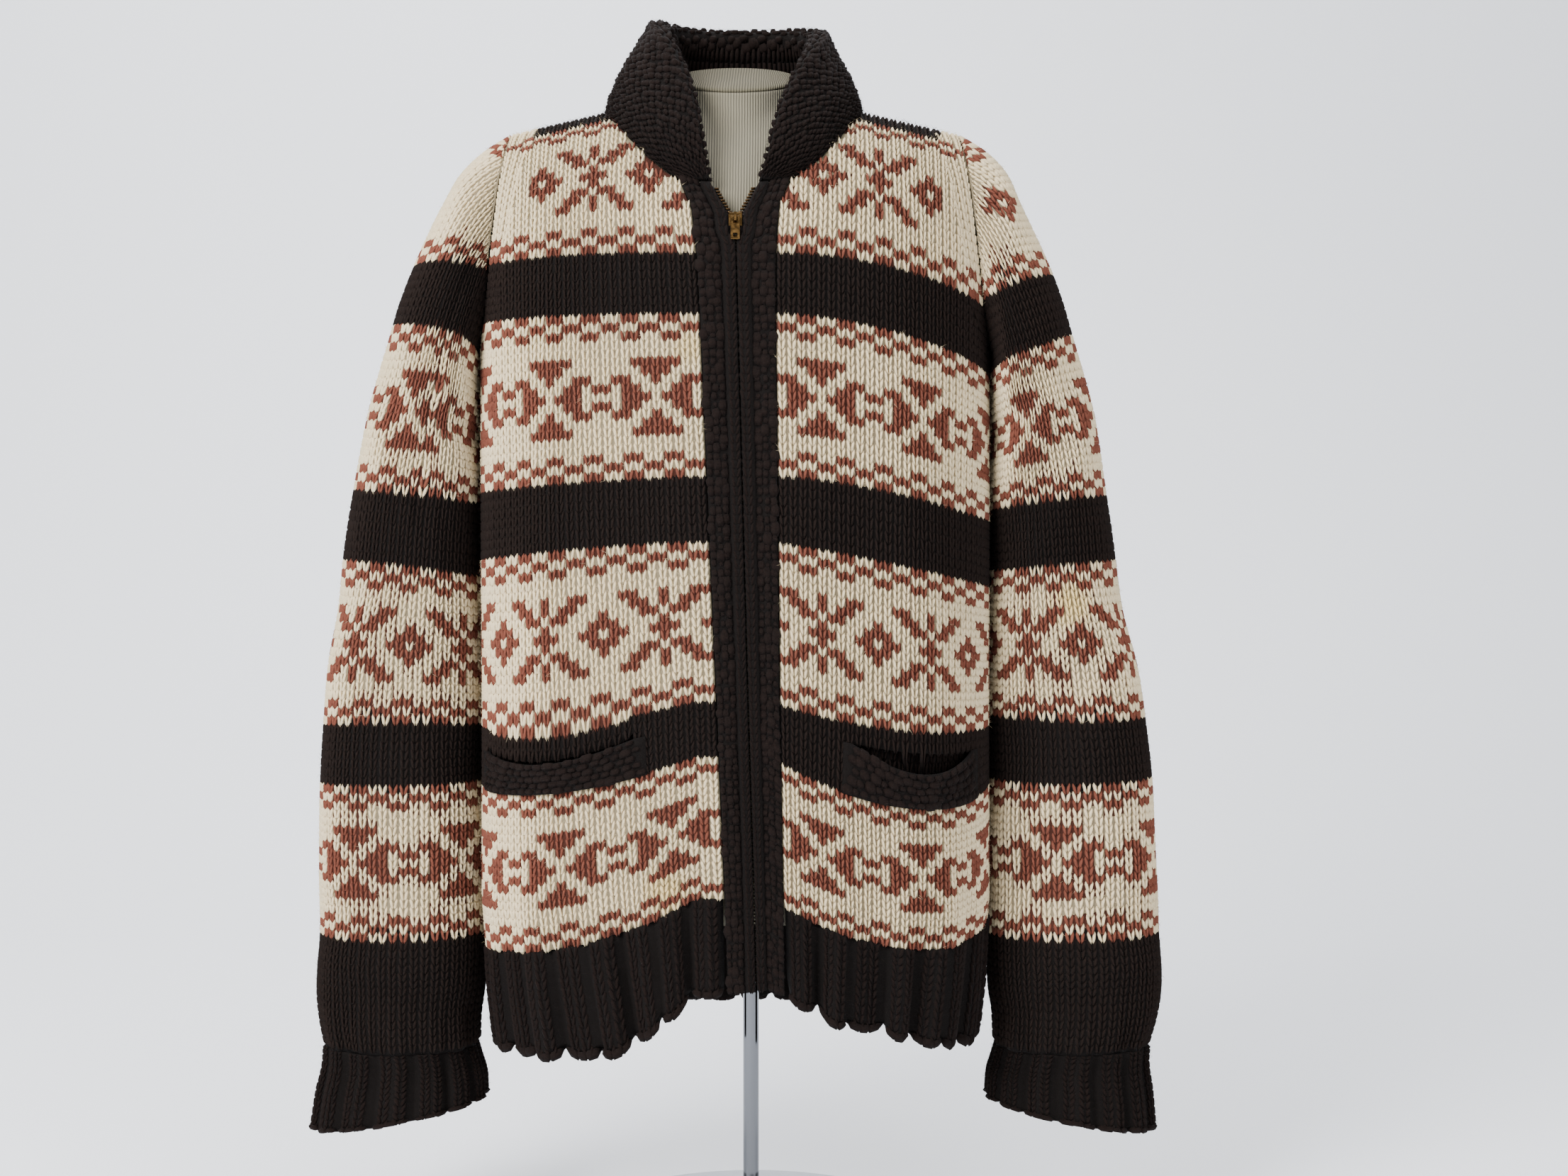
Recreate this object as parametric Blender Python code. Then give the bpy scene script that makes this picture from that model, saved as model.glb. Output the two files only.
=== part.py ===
"""Knitted zip cardigan with bands of colour-work, standing on a limbless dress form. Metres, +Z up."""

import math

import bmesh
import bpy
from mathutils import Matrix, Vector

# Rows of knitting, counted from the top of the hem rib.
RIB_ROWS = 11.0
YOKE_ROW = 78.0
TOP_ROW = 104.0
BAND_TOP_ROW = 86.3

# Walls and gaps.
WALL = 0.0040
COLLAR_WALL = 0.0065
GAP = 0.0002
SEAM_ROWS = 0.05
# Rise of the four columns of a rib group: its purl valley, then two knit columns as one round ridge.
RIB_RISES = (-0.0022, 0.0009, 0.0018, 0.0009)
RIB_BACK = 0.0011
ARMHOLE_GAP = 0.0007
COLLAR_GAP = 0.0006

# Body sections.
CENTRE_X = -0.004
SECTION_POWER = 2.3
BEND_POWER = 2.2
BEND_Z = 0.690
CHEST_HALF_WIDTH = 0.185
RIDGE_NECK_X = 0.090
RIDGE_NECK_Z = 0.8310
RIDGE_FALL = 0.0160
SHOULDER_X = 0.162
BACK_NECK_DIP_ROWS = 12.5

# Height, half-width, front depth and back depth of the body.
BODY_SECTIONS = (
    (0.140, 0.1760, 0.0990, 0.0980),
    (0.160, 0.1775, 0.1010, 0.1000),
    (0.200, 0.1820, 0.1060, 0.1050),
    (0.260, 0.1860, 0.1120, 0.1100),
    (0.400, 0.1850, 0.1110, 0.1080),
    (0.560, 0.1850, 0.1100, 0.1110),
    (0.690, 0.1850, 0.1100, 0.1150),
)
# Height of each row at four shares of a panel's width, from its band to its side seam.
SHARES = (0.0, 0.35, 0.70, 1.0)
LEFT_ROWS = (
    (-11.0, 0.2100, 0.1680, 0.1570, 0.1540),
    (0.0, 0.2753, 0.2420, 0.2280, 0.2220),
    (19.0, 0.3736, 0.3520, 0.3430, 0.3434),
    (26.0, 0.4118, 0.3960, 0.3870, 0.3865),
    (45.0, 0.5216, 0.5170, 0.5100, 0.5060),
    (52.0, 0.5667, 0.5630, 0.5580, 0.5545),
    (71.0, 0.6780, 0.6780, 0.6770, 0.6760),
    (78.0, 0.7195, 0.7200, 0.7180, 0.7166),
)
RIGHT_ROWS = (
    (-11.0, 0.2106, 0.1800, 0.1580, 0.1600),
    (0.0, 0.2753, 0.2360, 0.2190, 0.2280),
    (19.0, 0.3736, 0.3440, 0.3270, 0.3380),
    (26.0, 0.4118, 0.3910, 0.3760, 0.3800),
    (45.0, 0.5216, 0.5120, 0.5020, 0.4960),
    (52.0, 0.5667, 0.5600, 0.5490, 0.5430),
    (71.0, 0.6780, 0.6750, 0.6670, 0.6560),
    (78.0, 0.7195, 0.7170, 0.7090, 0.6980),
)
# Row, and half-width of the front opening to the panel's edge: the band, then the neck.
FRONT_EDGE = (
    (-11.0, 0.0205),
    (0.0, 0.0203),
    (26.0, 0.0220),
    (52.0, 0.0245),
    (71.0, 0.0262),
    (78.0, 0.0275),
    (83.0, 0.0300),
    (86.5, 0.0380),
    (88.0, 0.0500),
    (90.0, 0.0615),
    (93.0, 0.0740),
    (97.0, 0.0850),
    (101.0, 0.0920),
    (104.0, 0.0940),
)
# Where the hem sags beside the bands: share of the panel, its spread, and depth.
HEM_SAG = {-1: (0.26, 0.16, 0.0085), 1: (0.24, 0.10, 0.0050)}
OPENING_X_HEM = 0.0125
OPENING_X_TOP = -0.0020
# Height and distance from the body's centre of the armhole's edge.
ARMHOLE = (
    (0.655, 0.1850),
    (0.660, 0.1840),
    (0.668, 0.1818),
    (0.685, 0.1785),
    (0.710, 0.1755),
    (0.740, 0.1720),
    (0.775, 0.1680),
    (0.815, 0.1620),
)
# Sleeve sections: outer x on the left and on the right, outer z, inner x, inner z, half depth, middle y.
SLEEVE = (
    (0.1620, 0.1620, 0.8140, 0.1858, 0.6550, 0.0500, 0.000),
    (0.1910, 0.1910, 0.7970, 0.1885, 0.6390, 0.0570, 0.001),
    (0.2125, 0.2080, 0.7640, 0.1890, 0.6140, 0.0590, 0.003),
    (0.2350, 0.2300, 0.7180, 0.1893, 0.5830, 0.0590, 0.005),
    (0.2535, 0.2475, 0.6700, 0.1895, 0.5500, 0.0580, 0.007),
    (0.2690, 0.2625, 0.6120, 0.1895, 0.5130, 0.0560, 0.009),
    (0.2820, 0.2730, 0.5500, 0.1895, 0.4720, 0.0540, 0.010),
    (0.2930, 0.2840, 0.4850, 0.1895, 0.4270, 0.0520, 0.011),
    (0.3010, 0.2970, 0.4200, 0.1895, 0.3780, 0.0500, 0.012),
    (0.3070, 0.3070, 0.3550, 0.1895, 0.3250, 0.0480, 0.012),
    (0.3090, 0.3110, 0.2920, 0.1895, 0.2720, 0.0460, 0.012),
    (0.3105, 0.3155, 0.2300, 0.1900, 0.2200, 0.0450, 0.012),
    (0.3120, 0.3160, 0.1840, 0.1920, 0.1800, 0.0440, 0.012),
    (0.3065, 0.3070, 0.1450, 0.1935, 0.1455, 0.0410, 0.012),
)
# Cuff sections, as for the sleeve.
CUFF = (
    (0.3062, 0.3067, 0.1445, 0.1937, 0.1450, 0.0410, 0.012),
    (0.3070, 0.3060, 0.1300, 0.1910, 0.1340, 0.0400, 0.012),
    (0.3115, 0.3085, 0.1080, 0.1880, 0.1230, 0.0425, 0.010),
    (0.3145, 0.3100, 0.0850, 0.1870, 0.1080, 0.0450, 0.008),
)
# Soft creases of a sleeve: place along it and round it in degrees, half length, half width, depth, slant.
SLEEVE_CREASES = (
    (3.3, 250.0, 55.0, 0.42, 0.0040, 0.012),
    (4.6, 285.0, 60.0, 0.40, 0.0030, -0.010),
    (6.6, 300.0, 70.0, 0.45, 0.0035, 0.012),
    (8.0, 255.0, 60.0, 0.40, 0.0030, -0.012),
    (10.6, 290.0, 75.0, 0.40, 0.0035, 0.006),
    (12.0, 250.0, 80.0, 0.35, 0.0040, -0.004),
    (5.4, 90.0, 70.0, 0.45, 0.0035, 0.010),
    (9.4, 95.0, 70.0, 0.45, 0.0030, -0.010),
)
# Free edge of the collar: x from the body's centre on the left and on the right, y, z left, z right.
COLLAR_EDGE = (
    (0.0165, 0.0185, -0.0880, 0.7640, 0.7640),
    (0.0200, 0.0240, -0.0850, 0.7880, 0.7860),
    (0.0235, 0.0290, -0.0740, 0.8180, 0.8140),
    (0.0320, 0.0400, -0.0520, 0.8490, 0.8440),
    (0.0430, 0.0490, -0.0300, 0.8770, 0.8650),
    (0.0525, 0.0565, -0.0020, 0.8990, 0.8850),
    (0.0510, 0.0560, 0.0300, 0.9010, 0.8935),
    (0.0350, 0.0410, 0.0550, 0.8975, 0.8935),
    (0.0000, 0.0000, 0.0640, 0.8935, 0.8935),
)
# Place round the half collar for each of those points, and how far its middle stands out.
COLLAR_PLACES = (0.00, 0.10, 0.21, 0.34, 0.46, 0.58, 0.70, 0.84, 1.00)
COLLAR_BULGE = (0.000, 0.004, 0.007, 0.010, 0.012, 0.012, 0.010, 0.006, 0.004)

# Zip and slider.
BAND_EDGE = (
    (-11.0, 0.0009),
    (79.3, 0.0009),
    (80.5, 0.0056),
    (82.8, 0.0060),
    (84.2, 0.0110),
    (86.3, 0.0170),
)
CHAIN_EDGE = (
    (-11.0, 0.0003),
    (81.7, 0.0003),
    (82.2, 0.0012),
    (82.8, 0.0024),
    (84.2, 0.0072),
    (86.3, 0.0130),
)
CHAIN_DEPTH = 0.0037
SLIDER_ROW = 81.9
SLIDER_HALF = 0.0048
PULL_AXIS_RISE = 0.0049
PULL_WIDTH = 0.0064
PULL_LENGTH = 0.0170
PULL_THICK = 0.0010

# Pockets: panel columns at the mouth's ends, its row, and how far its lip sags on each side.
POCKET_FROM = 3
POCKET_TO = {-1: 10, 1: 9}
WELT_PAST_MOUTH = 0.4
PANEL_COLUMNS = 12
POCKET_ROW = 23.6
LIP_SAG_ROWS = {-1: 1.3, 1: 2.0}
WELT_THICK = 0.0022
LINING_THICK = 0.0022
LINING_DEPTH = 0.0090

# Dress form: height, half-width, front depth and back depth.
FORM_SECTIONS = (
    (0.250, 0.1380, 0.0760, 0.0820),
    (0.262, 0.1500, 0.0820, 0.0880),
    (0.320, 0.1560, 0.0860, 0.0920),
    (0.420, 0.1380, 0.0800, 0.0800),
    (0.500, 0.1460, 0.0880, 0.0850),
    (0.580, 0.1640, 0.0980, 0.0950),
    (0.640, 0.1740, 0.1010, 0.1020),
)
FORM_BEND_Z = 0.655
FORM_SHOULDER_X = 0.138
FORM_CLEAR = 0.0010
NECK_HALF_WIDTH = 0.0465
NECK_HALF_DEPTH = 0.0460
NECK_Y = 0.002
NECK_TOP_Z = 0.8540
NECK_TOP_TILT = 0.345
CAP_THICK = 0.0030
POLE_X = 0.007
POLE_RADIUS = 0.0058
BASE_RADIUS = 0.140
BASE_THICK = 0.012

# Colours of the yarns and of the hard pieces.
BROWN = (0.022, 0.014, 0.012)
CREAM = (0.68, 0.63, 0.52)
JERSEY = (0.70, 0.67, 0.58)
BRASS = (0.55, 0.38, 0.14)
STEEL = (0.60, 0.61, 0.63)


def spow(value, power):
    return math.copysign(abs(value) ** power, value)


def lookup(table, key, column=1):
    """The column's value at this key of a table sorted by its first column, held at the ends."""
    if key <= table[0][0]:
        return table[0][column]
    for low, high in zip(table, table[1:]):
        if key <= high[0]:
            share = (key - low[0]) / (high[0] - low[0])
            return low[column] + share * (high[column] - low[column])
    return table[-1][column]


def through(values, at):
    """A cubic through the four values at SHARES."""
    total = 0.0
    for i, value in enumerate(values):
        term = value
        for j, share in enumerate(SHARES):
            if j != i:
                term *= (at - share) / (SHARES[i] - share)
        total += term
    return total


def smooth(value):
    value = min(max(value, 0.0), 1.0)
    return value * value * (3.0 - 2.0 * value)


def ridge_z(x):
    """Height of the shoulder line over a distance from the body's centre."""
    past = max(0.0, abs(x) - RIDGE_NECK_X) / (SHOULDER_X - RIDGE_NECK_X)
    return RIDGE_NECK_Z - RIDGE_FALL * past


def depth_left(z, top, bend, power=BEND_POWER):
    """Share of a section's depth that is left at height z, as the body rolls over to its shoulder line."""
    rise = min(max((z - bend) / (top - bend), 0.0), 1.0)
    return (1.0 - rise**power) ** (1.0 / power)


def section_arcs():
    """Lengths along a quarter of the chest section, by angle from the centre front."""
    steps = 90
    lengths = [0.0]
    last = None
    for i in range(steps + 1):
        angle = math.pi / 2 * i / steps
        x = CHEST_HALF_WIDTH * spow(math.sin(angle), 2 / SECTION_POWER)
        y = 0.110 * spow(max(math.cos(angle), 0.0), 2 / SECTION_POWER)
        if last:
            lengths.append(lengths[-1] + math.hypot(x - last[0], y - last[1]))
        last = (x, y)
    return [(math.pi / 2 * i / steps, length) for i, length in enumerate(lengths)]


ARCS = section_arcs()
BAND_ARC = 0.026
QUARTER = ARCS[-1][1]


def share_of(angle):
    """Share of a panel's width at an angle round the section."""
    return max(0.0, (lookup(ARCS, angle) - BAND_ARC) / (QUARTER - BAND_ARC))


def yoke_rises():
    """Share of the climb from the yoke's first row to the shoulder for each share of its rows."""
    low, top = 0.7195, ridge_z(0.12)
    depth = 0.092
    steps = 80
    rises = [(0.0, 0.0)]
    length = 0.0
    last = (depth * depth_left(low, top, BEND_Z), low)
    for i in range(1, steps + 1):
        part = math.sin(math.pi / 2 * i / steps)
        z = low + (top - low) * part
        y = depth * depth_left(z, top, BEND_Z)
        length += math.hypot(y - last[0], z - last[1])
        rises.append((length, part))
        last = (y, z)
    return [(run / length, part) for run, part in rises]


RISES = yoke_rises()


def row_height(row, share, side, face):
    """Height of a row at a share of a panel's width, below the yoke."""
    table = LEFT_ROWS if side < 0 else RIGHT_ROWS
    columns = [lookup(table, row, 1 + i) for i in range(4)]
    if face < 0:
        place, width, depth = HEM_SAG[side]
        sag = depth * math.exp(-(((share - place) / width) ** 2)) * min(max(-row / RIB_ROWS, 0.0), 1.0)
        return through(columns, share) - sag
    middle = (lookup(LEFT_ROWS, row, 4) + lookup(RIGHT_ROWS, row, 4)) / 2 + 0.004
    return middle + (columns[3] - middle) * share**2


def body_point(row, angle, side, face):
    """Point of the body's outer surface. side is -1 left or 1 right, face is -1 front or 1 back."""
    share = share_of(angle)
    z = row_height(min(row, YOKE_ROW), share, side, face)
    half = lookup(BODY_SECTIONS, z, 1)
    x = half * spow(math.sin(angle), 2 / SECTION_POWER)
    top = ridge_z(x)
    if row > YOKE_ROW:
        z += (top - z) * lookup(RISES, (row - YOKE_ROW) / (TOP_ROW - YOKE_ROW))
    depth = lookup(BODY_SECTIONS, z, 2 if face < 0 else 3)
    y = depth * spow(max(math.cos(angle), 0.0), 2 / SECTION_POWER) * depth_left(z, top, BEND_Z)
    return Vector((CENTRE_X + side * x, face * (y + GAP), z))


def angle_at(x, half=CHEST_HALF_WIDTH):
    return math.asin(min(max(spow(x / half, SECTION_POWER / 2), -1.0), 1.0))


def opening_x(row):
    """World x of the front opening's middle line."""
    share = (row + RIB_ROWS) / (83.0 + RIB_ROWS)
    return OPENING_X_HEM + (OPENING_X_TOP - OPENING_X_HEM) * share


def side_x(world_x, side):
    """Distance from the body's centre toward one side."""
    return side * (world_x - CENTRE_X)


def front_angle(row, offset, side):
    """Angle of a point this far from the front opening's middle line."""
    return angle_at(side_x(opening_x(row) + side * offset, side))


def armhole_angle(row, side, face):
    """Angle where a row of the body ends: at the side seam, or at the armhole above it."""
    if body_point(row, math.pi / 2, side, face).z <= ARMHOLE[0][0]:
        return math.pi / 2
    angle = angle_at(ARMHOLE[-1][1])
    for _ in range(12):
        angle = (angle + angle_at(lookup(ARMHOLE, body_point(row, angle, side, face).z))) / 2
    return angle


def spread(points, count):
    """This many steps of equal length along a run of points."""
    lengths = [0.0]
    for a, b in zip(points, points[1:]):
        lengths.append(lengths[-1] + (b - a).length)
    found = []
    place = 0
    for i in range(count + 1):
        goal = lengths[-1] * i / count
        while place < len(points) - 2 and lengths[place + 1] < goal:
            place += 1
        step = max(lengths[place + 1] - lengths[place], 1e-9)
        found.append(points[place].lerp(points[place + 1], min((goal - lengths[place]) / step, 1.0)))
    return found


def row_of_points(row, start, end, side, face, count):
    steps = 48
    run = [body_point(row, start + (end - start) * i / steps, side, face) for i in range(steps + 1)]
    return spread(run, count)


def normals(grid, wrap=False):
    """Outward normal at each point of a grid of points, from its neighbours."""
    rows, columns = len(grid), len(grid[0])
    found = []
    for i in range(rows):
        line = []
        for j in range(columns):
            up = grid[min(i + 1, rows - 1)][j] - grid[max(i - 1, 0)][j]
            if wrap:
                along = grid[i][(j + 1) % columns] - grid[i][j - 1]
            else:
                along = grid[i][min(j + 1, columns - 1)] - grid[i][max(j - 1, 0)]
            line.append(along.cross(up).normalized())
        found.append(line)
    return found


def moved(grid, directions, distance):
    """The grid moved along its normals, by one distance or by a function of row and column."""
    if not callable(distance):
        return [[p + n * distance for p, n in zip(*lines)] for lines in zip(grid, directions)]
    return [
        [p + n * distance(i, j) for j, (p, n) in enumerate(zip(*lines))]
        for i, lines in enumerate(zip(grid, directions))
    ]


def wall(name, outer, inner, wrap=False, skip=()):
    """A closed wall between two grids of points, with the skipped cells left open."""
    rows, columns = len(outer), len(outer[0])
    mesh = bmesh.new()
    out = [[mesh.verts.new(p) for p in line] for line in outer]
    into = [[mesh.verts.new(p) for p in line] for line in inner]
    edges = {}
    for i in range(rows - 1):
        for j in range(columns if wrap else columns - 1):
            if (i, j) in skip:
                continue
            k = (j + 1) % columns
            ring = ((i, j), (i, k), (i + 1, k), (i + 1, j))
            mesh.faces.new([out[a][b] for a, b in ring])
            mesh.faces.new([into[a][b] for a, b in reversed(ring)])
            for a, b in zip(ring, ring[1:] + ring[:1]):
                edges[(a, b)] = edges.get((a, b), 0) + 1
    for a, b in edges:
        if (b, a) not in edges:
            mesh.faces.new((out[b[0]][b[1]], out[a[0]][a[1]], into[a[0]][a[1]], into[b[0]][b[1]]))
    loose = [v for v in mesh.verts if not v.link_faces]
    bmesh.ops.delete(mesh, geom=loose, context="VERTS")
    bmesh.ops.recalc_face_normals(mesh, faces=mesh.faces)
    return finish(name, mesh)


def finish(name, mesh, smooth_shaded=True):
    data = bpy.data.meshes.new(name)
    for face in mesh.faces:
        face.smooth = smooth_shaded
    mesh.to_mesh(data)
    mesh.free()
    part = bpy.data.objects.new(name, data)
    PARTS.objects.link(part)
    return part


def paint(part, colour, roughness=0.9, metallic=0.0):
    material = bpy.data.materials.new(part.name + "_material")
    material.use_nodes = True
    shader = material.node_tree.nodes["Principled BSDF"]
    shader.inputs["Base Color"].default_value = (*colour, 1.0)
    shader.inputs["Roughness"].default_value = roughness
    shader.inputs["Metallic"].default_value = metallic
    material.diffuse_color = (*colour, 1.0)
    part.data.materials.append(material)


def hem_wave(row, share, face):
    """How far the gathered hem stands out, fading out above the rib."""
    fade = 1.0 - smooth((row + RIB_ROWS) / (RIB_ROWS + 14.0))
    count = 5.0 if face < 0 else 6.0
    swell = math.sin(math.pi * (0.15 + share) * 0.87)
    return 0.0034 * fade * swell * math.sin(2 * math.pi * count * share + 0.9)


def chest_wave(row, share):
    """Long soft folds down the panel."""
    fade = smooth((YOKE_ROW - row) / 30.0) * math.sin(math.pi * min(share, 1.0))
    return 0.0022 * fade * math.sin(2 * math.pi * (2.2 * share + 0.004 * row))


def panel_grid(levels, start, end, side, face, count):
    """Outer points of a body panel, level by level, with its soft waves put in."""
    grid = []
    for row in levels:
        grid.append(row_of_points(row, start(row), end(row), side, face, count))
    if side * face < 0:
        out = normals(grid)
    else:
        out = [[-n for n in line] for line in normals(grid)]
    out[0] = level(out[0])
    waves = moved(grid, out, lambda i, j: wave_at(levels[i], j / count, face))
    return keep_apart(waves, face), out


def wave_at(row, share, face):
    if row > YOKE_ROW:
        return 0.0
    return hem_wave(row, share, face) * smooth(share * 8) * smooth((1 - share) * 8) + chest_wave(row, share)


def keep_apart(grid, face):
    """Points kept to their own side of the side and shoulder seams."""
    return [[Vector((p.x, face * max(face * p.y, GAP), p.z)) for p in line] for line in grid]


def mouth_bow(column, side):
    """0 at the ends of a pocket's mouth and 1 at its middle."""
    share = (column - POCKET_FROM) / (POCKET_TO[side] - POCKET_FROM)
    return math.sin(math.pi * min(max(share, 0.0), 1.0))


def lip_row(column, side):
    """Row of the pocket's lip in a panel column."""
    return POCKET_ROW - 0.3 - LIP_SAG_ROWS[side] * mouth_bow(column, side)


def upper_row(column, side):
    return POCKET_ROW + 0.2 + 0.5 * mouth_bow(column, side)


FRONT_LEVELS = (
    SEAM_ROWS, 5.0, 10.0, 15.0, 18.5, 23.3, 23.8, 27.0, 32.0, 37.0, 42.0, 47.0, 52.0, 57.0,
    62.0, 66.5, 71.0, 74.5, 78.0, 82.0, 86.5, 90.0, 93.5, 97.0, 100.0, 102.5, TOP_ROW,
)
LIP_LEVEL = 5


def front_start(side):
    return lambda row: front_angle(row, lookup(FRONT_EDGE, row) + GAP, side)


def front_grid(side):
    """Outer points of a front, with the pocket's mouth opened between its two levels."""
    grid, out = panel_grid(
        FRONT_LEVELS, front_start(side), lambda row: armhole_angle(row, side, -1), side, -1, PANEL_COLUMNS
    )
    for j in range(POCKET_FROM, POCKET_TO[side] + 1):
        for level, row in ((LIP_LEVEL, lip_row(j, side)), (LIP_LEVEL + 1, upper_row(j, side))):
            line = row_of_points(row, front_start(side)(row), math.pi / 2, side, -1, PANEL_COLUMNS)
            grid[level][j] = line[j] + out[level][j] * wave_at(row, j / PANEL_COLUMNS, -1)
    return grid, out


def make_front(side, name):
    grid, out = front_grid(side)
    mouth = {(LIP_LEVEL, j) for j in range(POCKET_FROM, POCKET_TO[side])}
    inner = keep_apart(moved(grid, out, -WALL), -1)
    paint(wall(name, grid, inner, skip=mouth), CREAM)
    return grid, out


def mixed(line_a, line_b, share):
    return [a.lerp(b, share) for a, b in zip(line_a, line_b)]


def past_ends(line, first, last):
    """A line between two columns, carried on a little toward the next column at each end."""
    start = line[first].lerp(line[first - 1], WELT_PAST_MOUTH)
    end = line[last].lerp(line[last + 1], WELT_PAST_MOUTH)
    return [start] + line[first : last + 1] + [end]


def make_pocket(side, word, grid, out):
    """The garter-stitch welt outside the lip, and the lining that hangs behind the mouth."""
    low, lip = grid[LIP_LEVEL - 1], grid[LIP_LEVEL]
    first, last = POCKET_FROM, POCKET_TO[side]
    lines = [past_ends(mixed(low, lip, share), first, last) for share in (0.05, 0.35, 0.7, 1.0)]
    cut = [past_ends(out[LIP_LEVEL], first, last)] * 4

    def gape(i, j):
        return 0.0003 + 0.0012 * (i / 3) ** 2 * mouth_bow(j + first - 1, side)

    near = moved(lines, cut, gape)
    far = moved(lines, cut, lambda i, j: gape(i, j) + WELT_THICK)
    paint(wall("pocket_welt_" + word, far, near), BROWN)

    levels = (LIP_LEVEL + 2, LIP_LEVEL + 1, LIP_LEVEL - 1, LIP_LEVEL - 2, LIP_LEVEL - 3, LIP_LEVEL - 4)
    back = [grid[level][first - 1 : last + 1] for level in levels]
    inward = [out[level][first - 1 : last + 1] for level in levels]
    tall, wide = len(levels) - 1, last - first + 1

    def hang(i, j):
        bow = math.sin(math.pi * j / wide) ** 0.6 * math.sin(math.pi * min(i + 0.6, tall) / tall) ** 0.6
        return -(WALL + 0.0005) - LINING_DEPTH * (bow if 0 < i < tall else 0.0)

    near = moved(back, inward, hang)
    far = moved(back, inward, lambda i, j: hang(i, j) - LINING_THICK)
    paint(wall("pocket_lining_" + word, near, far), BROWN)


BACK_LEVELS = (
    SEAM_ROWS, 6.0, 13.0, 20.0, 27.0, 34.0, 40.0, 46.0, 52.0, 58.0, 64.0, 68.0, 72.0, 75.5,
    78.0, 82.5, 87.0, 91.5, 95.5, 99.0, 102.0, TOP_ROW,
)
# Columns of the back from an armhole to the neck point, and between the neck points.
BACK_SHOULDER_COLUMNS = 5
BACK_NECK_COLUMNS = 10


def neck_angle(side):
    """Angle of the neck point, where the front's neck edge meets the shoulder seam."""
    return front_start(side)(TOP_ROW)


def back_row(row, angle, side):
    """Row lowered toward the nape between the two neck points."""
    if row <= YOKE_ROW:
        return row
    share = min(spow(math.sin(angle) / math.sin(neck_angle(side)), 2 / SECTION_POWER), 1.0)
    dip = BACK_NECK_DIP_ROWS * (1.0 - share**2.2) ** 0.62
    return YOKE_ROW + (row - YOKE_ROW) * (TOP_ROW - dip - YOKE_ROW) / (TOP_ROW - YOKE_ROW)


def back_line(row, shoulder, neck):
    """Points across the back at one row, with two of them always under the neck points."""
    line = []
    for start, end, side, count in (
        (armhole_angle(row, -1, 1), neck_angle(-1), -1, shoulder),
        (neck_angle(-1), 0.0, -1, neck // 2),
        (0.0, neck_angle(1), 1, neck // 2),
        (neck_angle(1), armhole_angle(row, 1, 1), 1, shoulder),
    ):
        run = []
        for i in range(33):
            angle = start + (end - start) * i / 32
            run.append(body_point(back_row(row, angle, side), angle, side, 1))
        line += spread(run, count)[0 if not line else 1 :]
    return line


def back_grid(levels, shoulder, neck):
    grid = [back_line(row, shoulder, neck) for row in levels]
    out = [[-n for n in line] for line in normals(grid)]
    out[0] = level(out[0])
    count = len(grid[0]) - 1
    ripple = lambda i, j: wave_at(levels[i], abs(2 * j / count - 1), 1)
    return keep_apart(moved(grid, out, ripple), 1), out


def make_back():
    grid, out = back_grid(BACK_LEVELS, BACK_SHOULDER_COLUMNS, BACK_NECK_COLUMNS)
    paint(wall("back_panel", grid, keep_apart(moved(grid, out, -WALL), 1)), CREAM)
    return grid, out


RIB_LEVELS = (-RIB_ROWS, -7.0, -3.0, -SEAM_ROWS)
# Rib columns to each column of the panel above: fronts, back shoulders and back neck.
FRONT_RIB_COLUMNS = {-1: 36, 1: 32}
BACK_RIB_SHOULDER = 20
BACK_RIB_NECK = 28


def rib_grids(grid, out, face):
    """Outer points with each group of columns raised, over plain inner points."""
    raised = moved(grid, out, lambda i, j: RIB_RISES[j % 4])
    return keep_apart(raised, face), keep_apart(moved(grid, out, -WALL - RIB_BACK), face)


def below(line, counts):
    """The panel's lowest line cut into rib columns and lowered by the seam."""
    place = 0
    found = []
    for steps, count in counts:
        run = spread(line[place : place + steps + 1], count)
        found += run[0 if not found else 1 :]
        place += steps
    return [p - Vector((0, 0, 2 * GAP)) for p in found]


def level(directions):
    """The directions without their rise, so that two walls that meet end to end stay apart."""
    return [Vector((n.x, n.y, 0)).normalized() for n in directions]


def make_hem_ribs(fronts, back):
    for side, word in ((-1, "left"), (1, "right")):
        count = FRONT_RIB_COLUMNS[side]
        grid, out = panel_grid(RIB_LEVELS, front_start(side), lambda row: math.pi / 2, side, -1, count)
        grid[-1] = below(fronts[side][0][0], ((PANEL_COLUMNS, count),))
        out[-1] = level(out[-1])
        outer, inner = rib_grids(grid, out, -1)
        paint(wall("hem_rib_front_" + word, outer, inner), BROWN)
    grid, out = back_grid(RIB_LEVELS, BACK_RIB_SHOULDER, BACK_RIB_NECK)
    halves = (
        (BACK_SHOULDER_COLUMNS, BACK_RIB_SHOULDER),
        (BACK_NECK_COLUMNS, BACK_RIB_NECK),
        (BACK_SHOULDER_COLUMNS, BACK_RIB_SHOULDER),
    )
    grid[-1] = below(back[0][0], halves)
    out[-1] = level(out[-1])
    outer, inner = rib_grids(grid, out, 1)
    paint(wall("hem_rib_back", outer, inner), BROWN)


def front_points(rows, offsets, side):
    """Points of the front opening's borders, at offsets from its middle line."""
    return [
        [body_point(row, front_angle(row, offset, side), side, -1) for offset in offsets(row)]
        for row in rows
    ]


def outward(grid):
    return [[n if n.y < 0 else -n for n in line] for line in normals(grid)]


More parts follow.
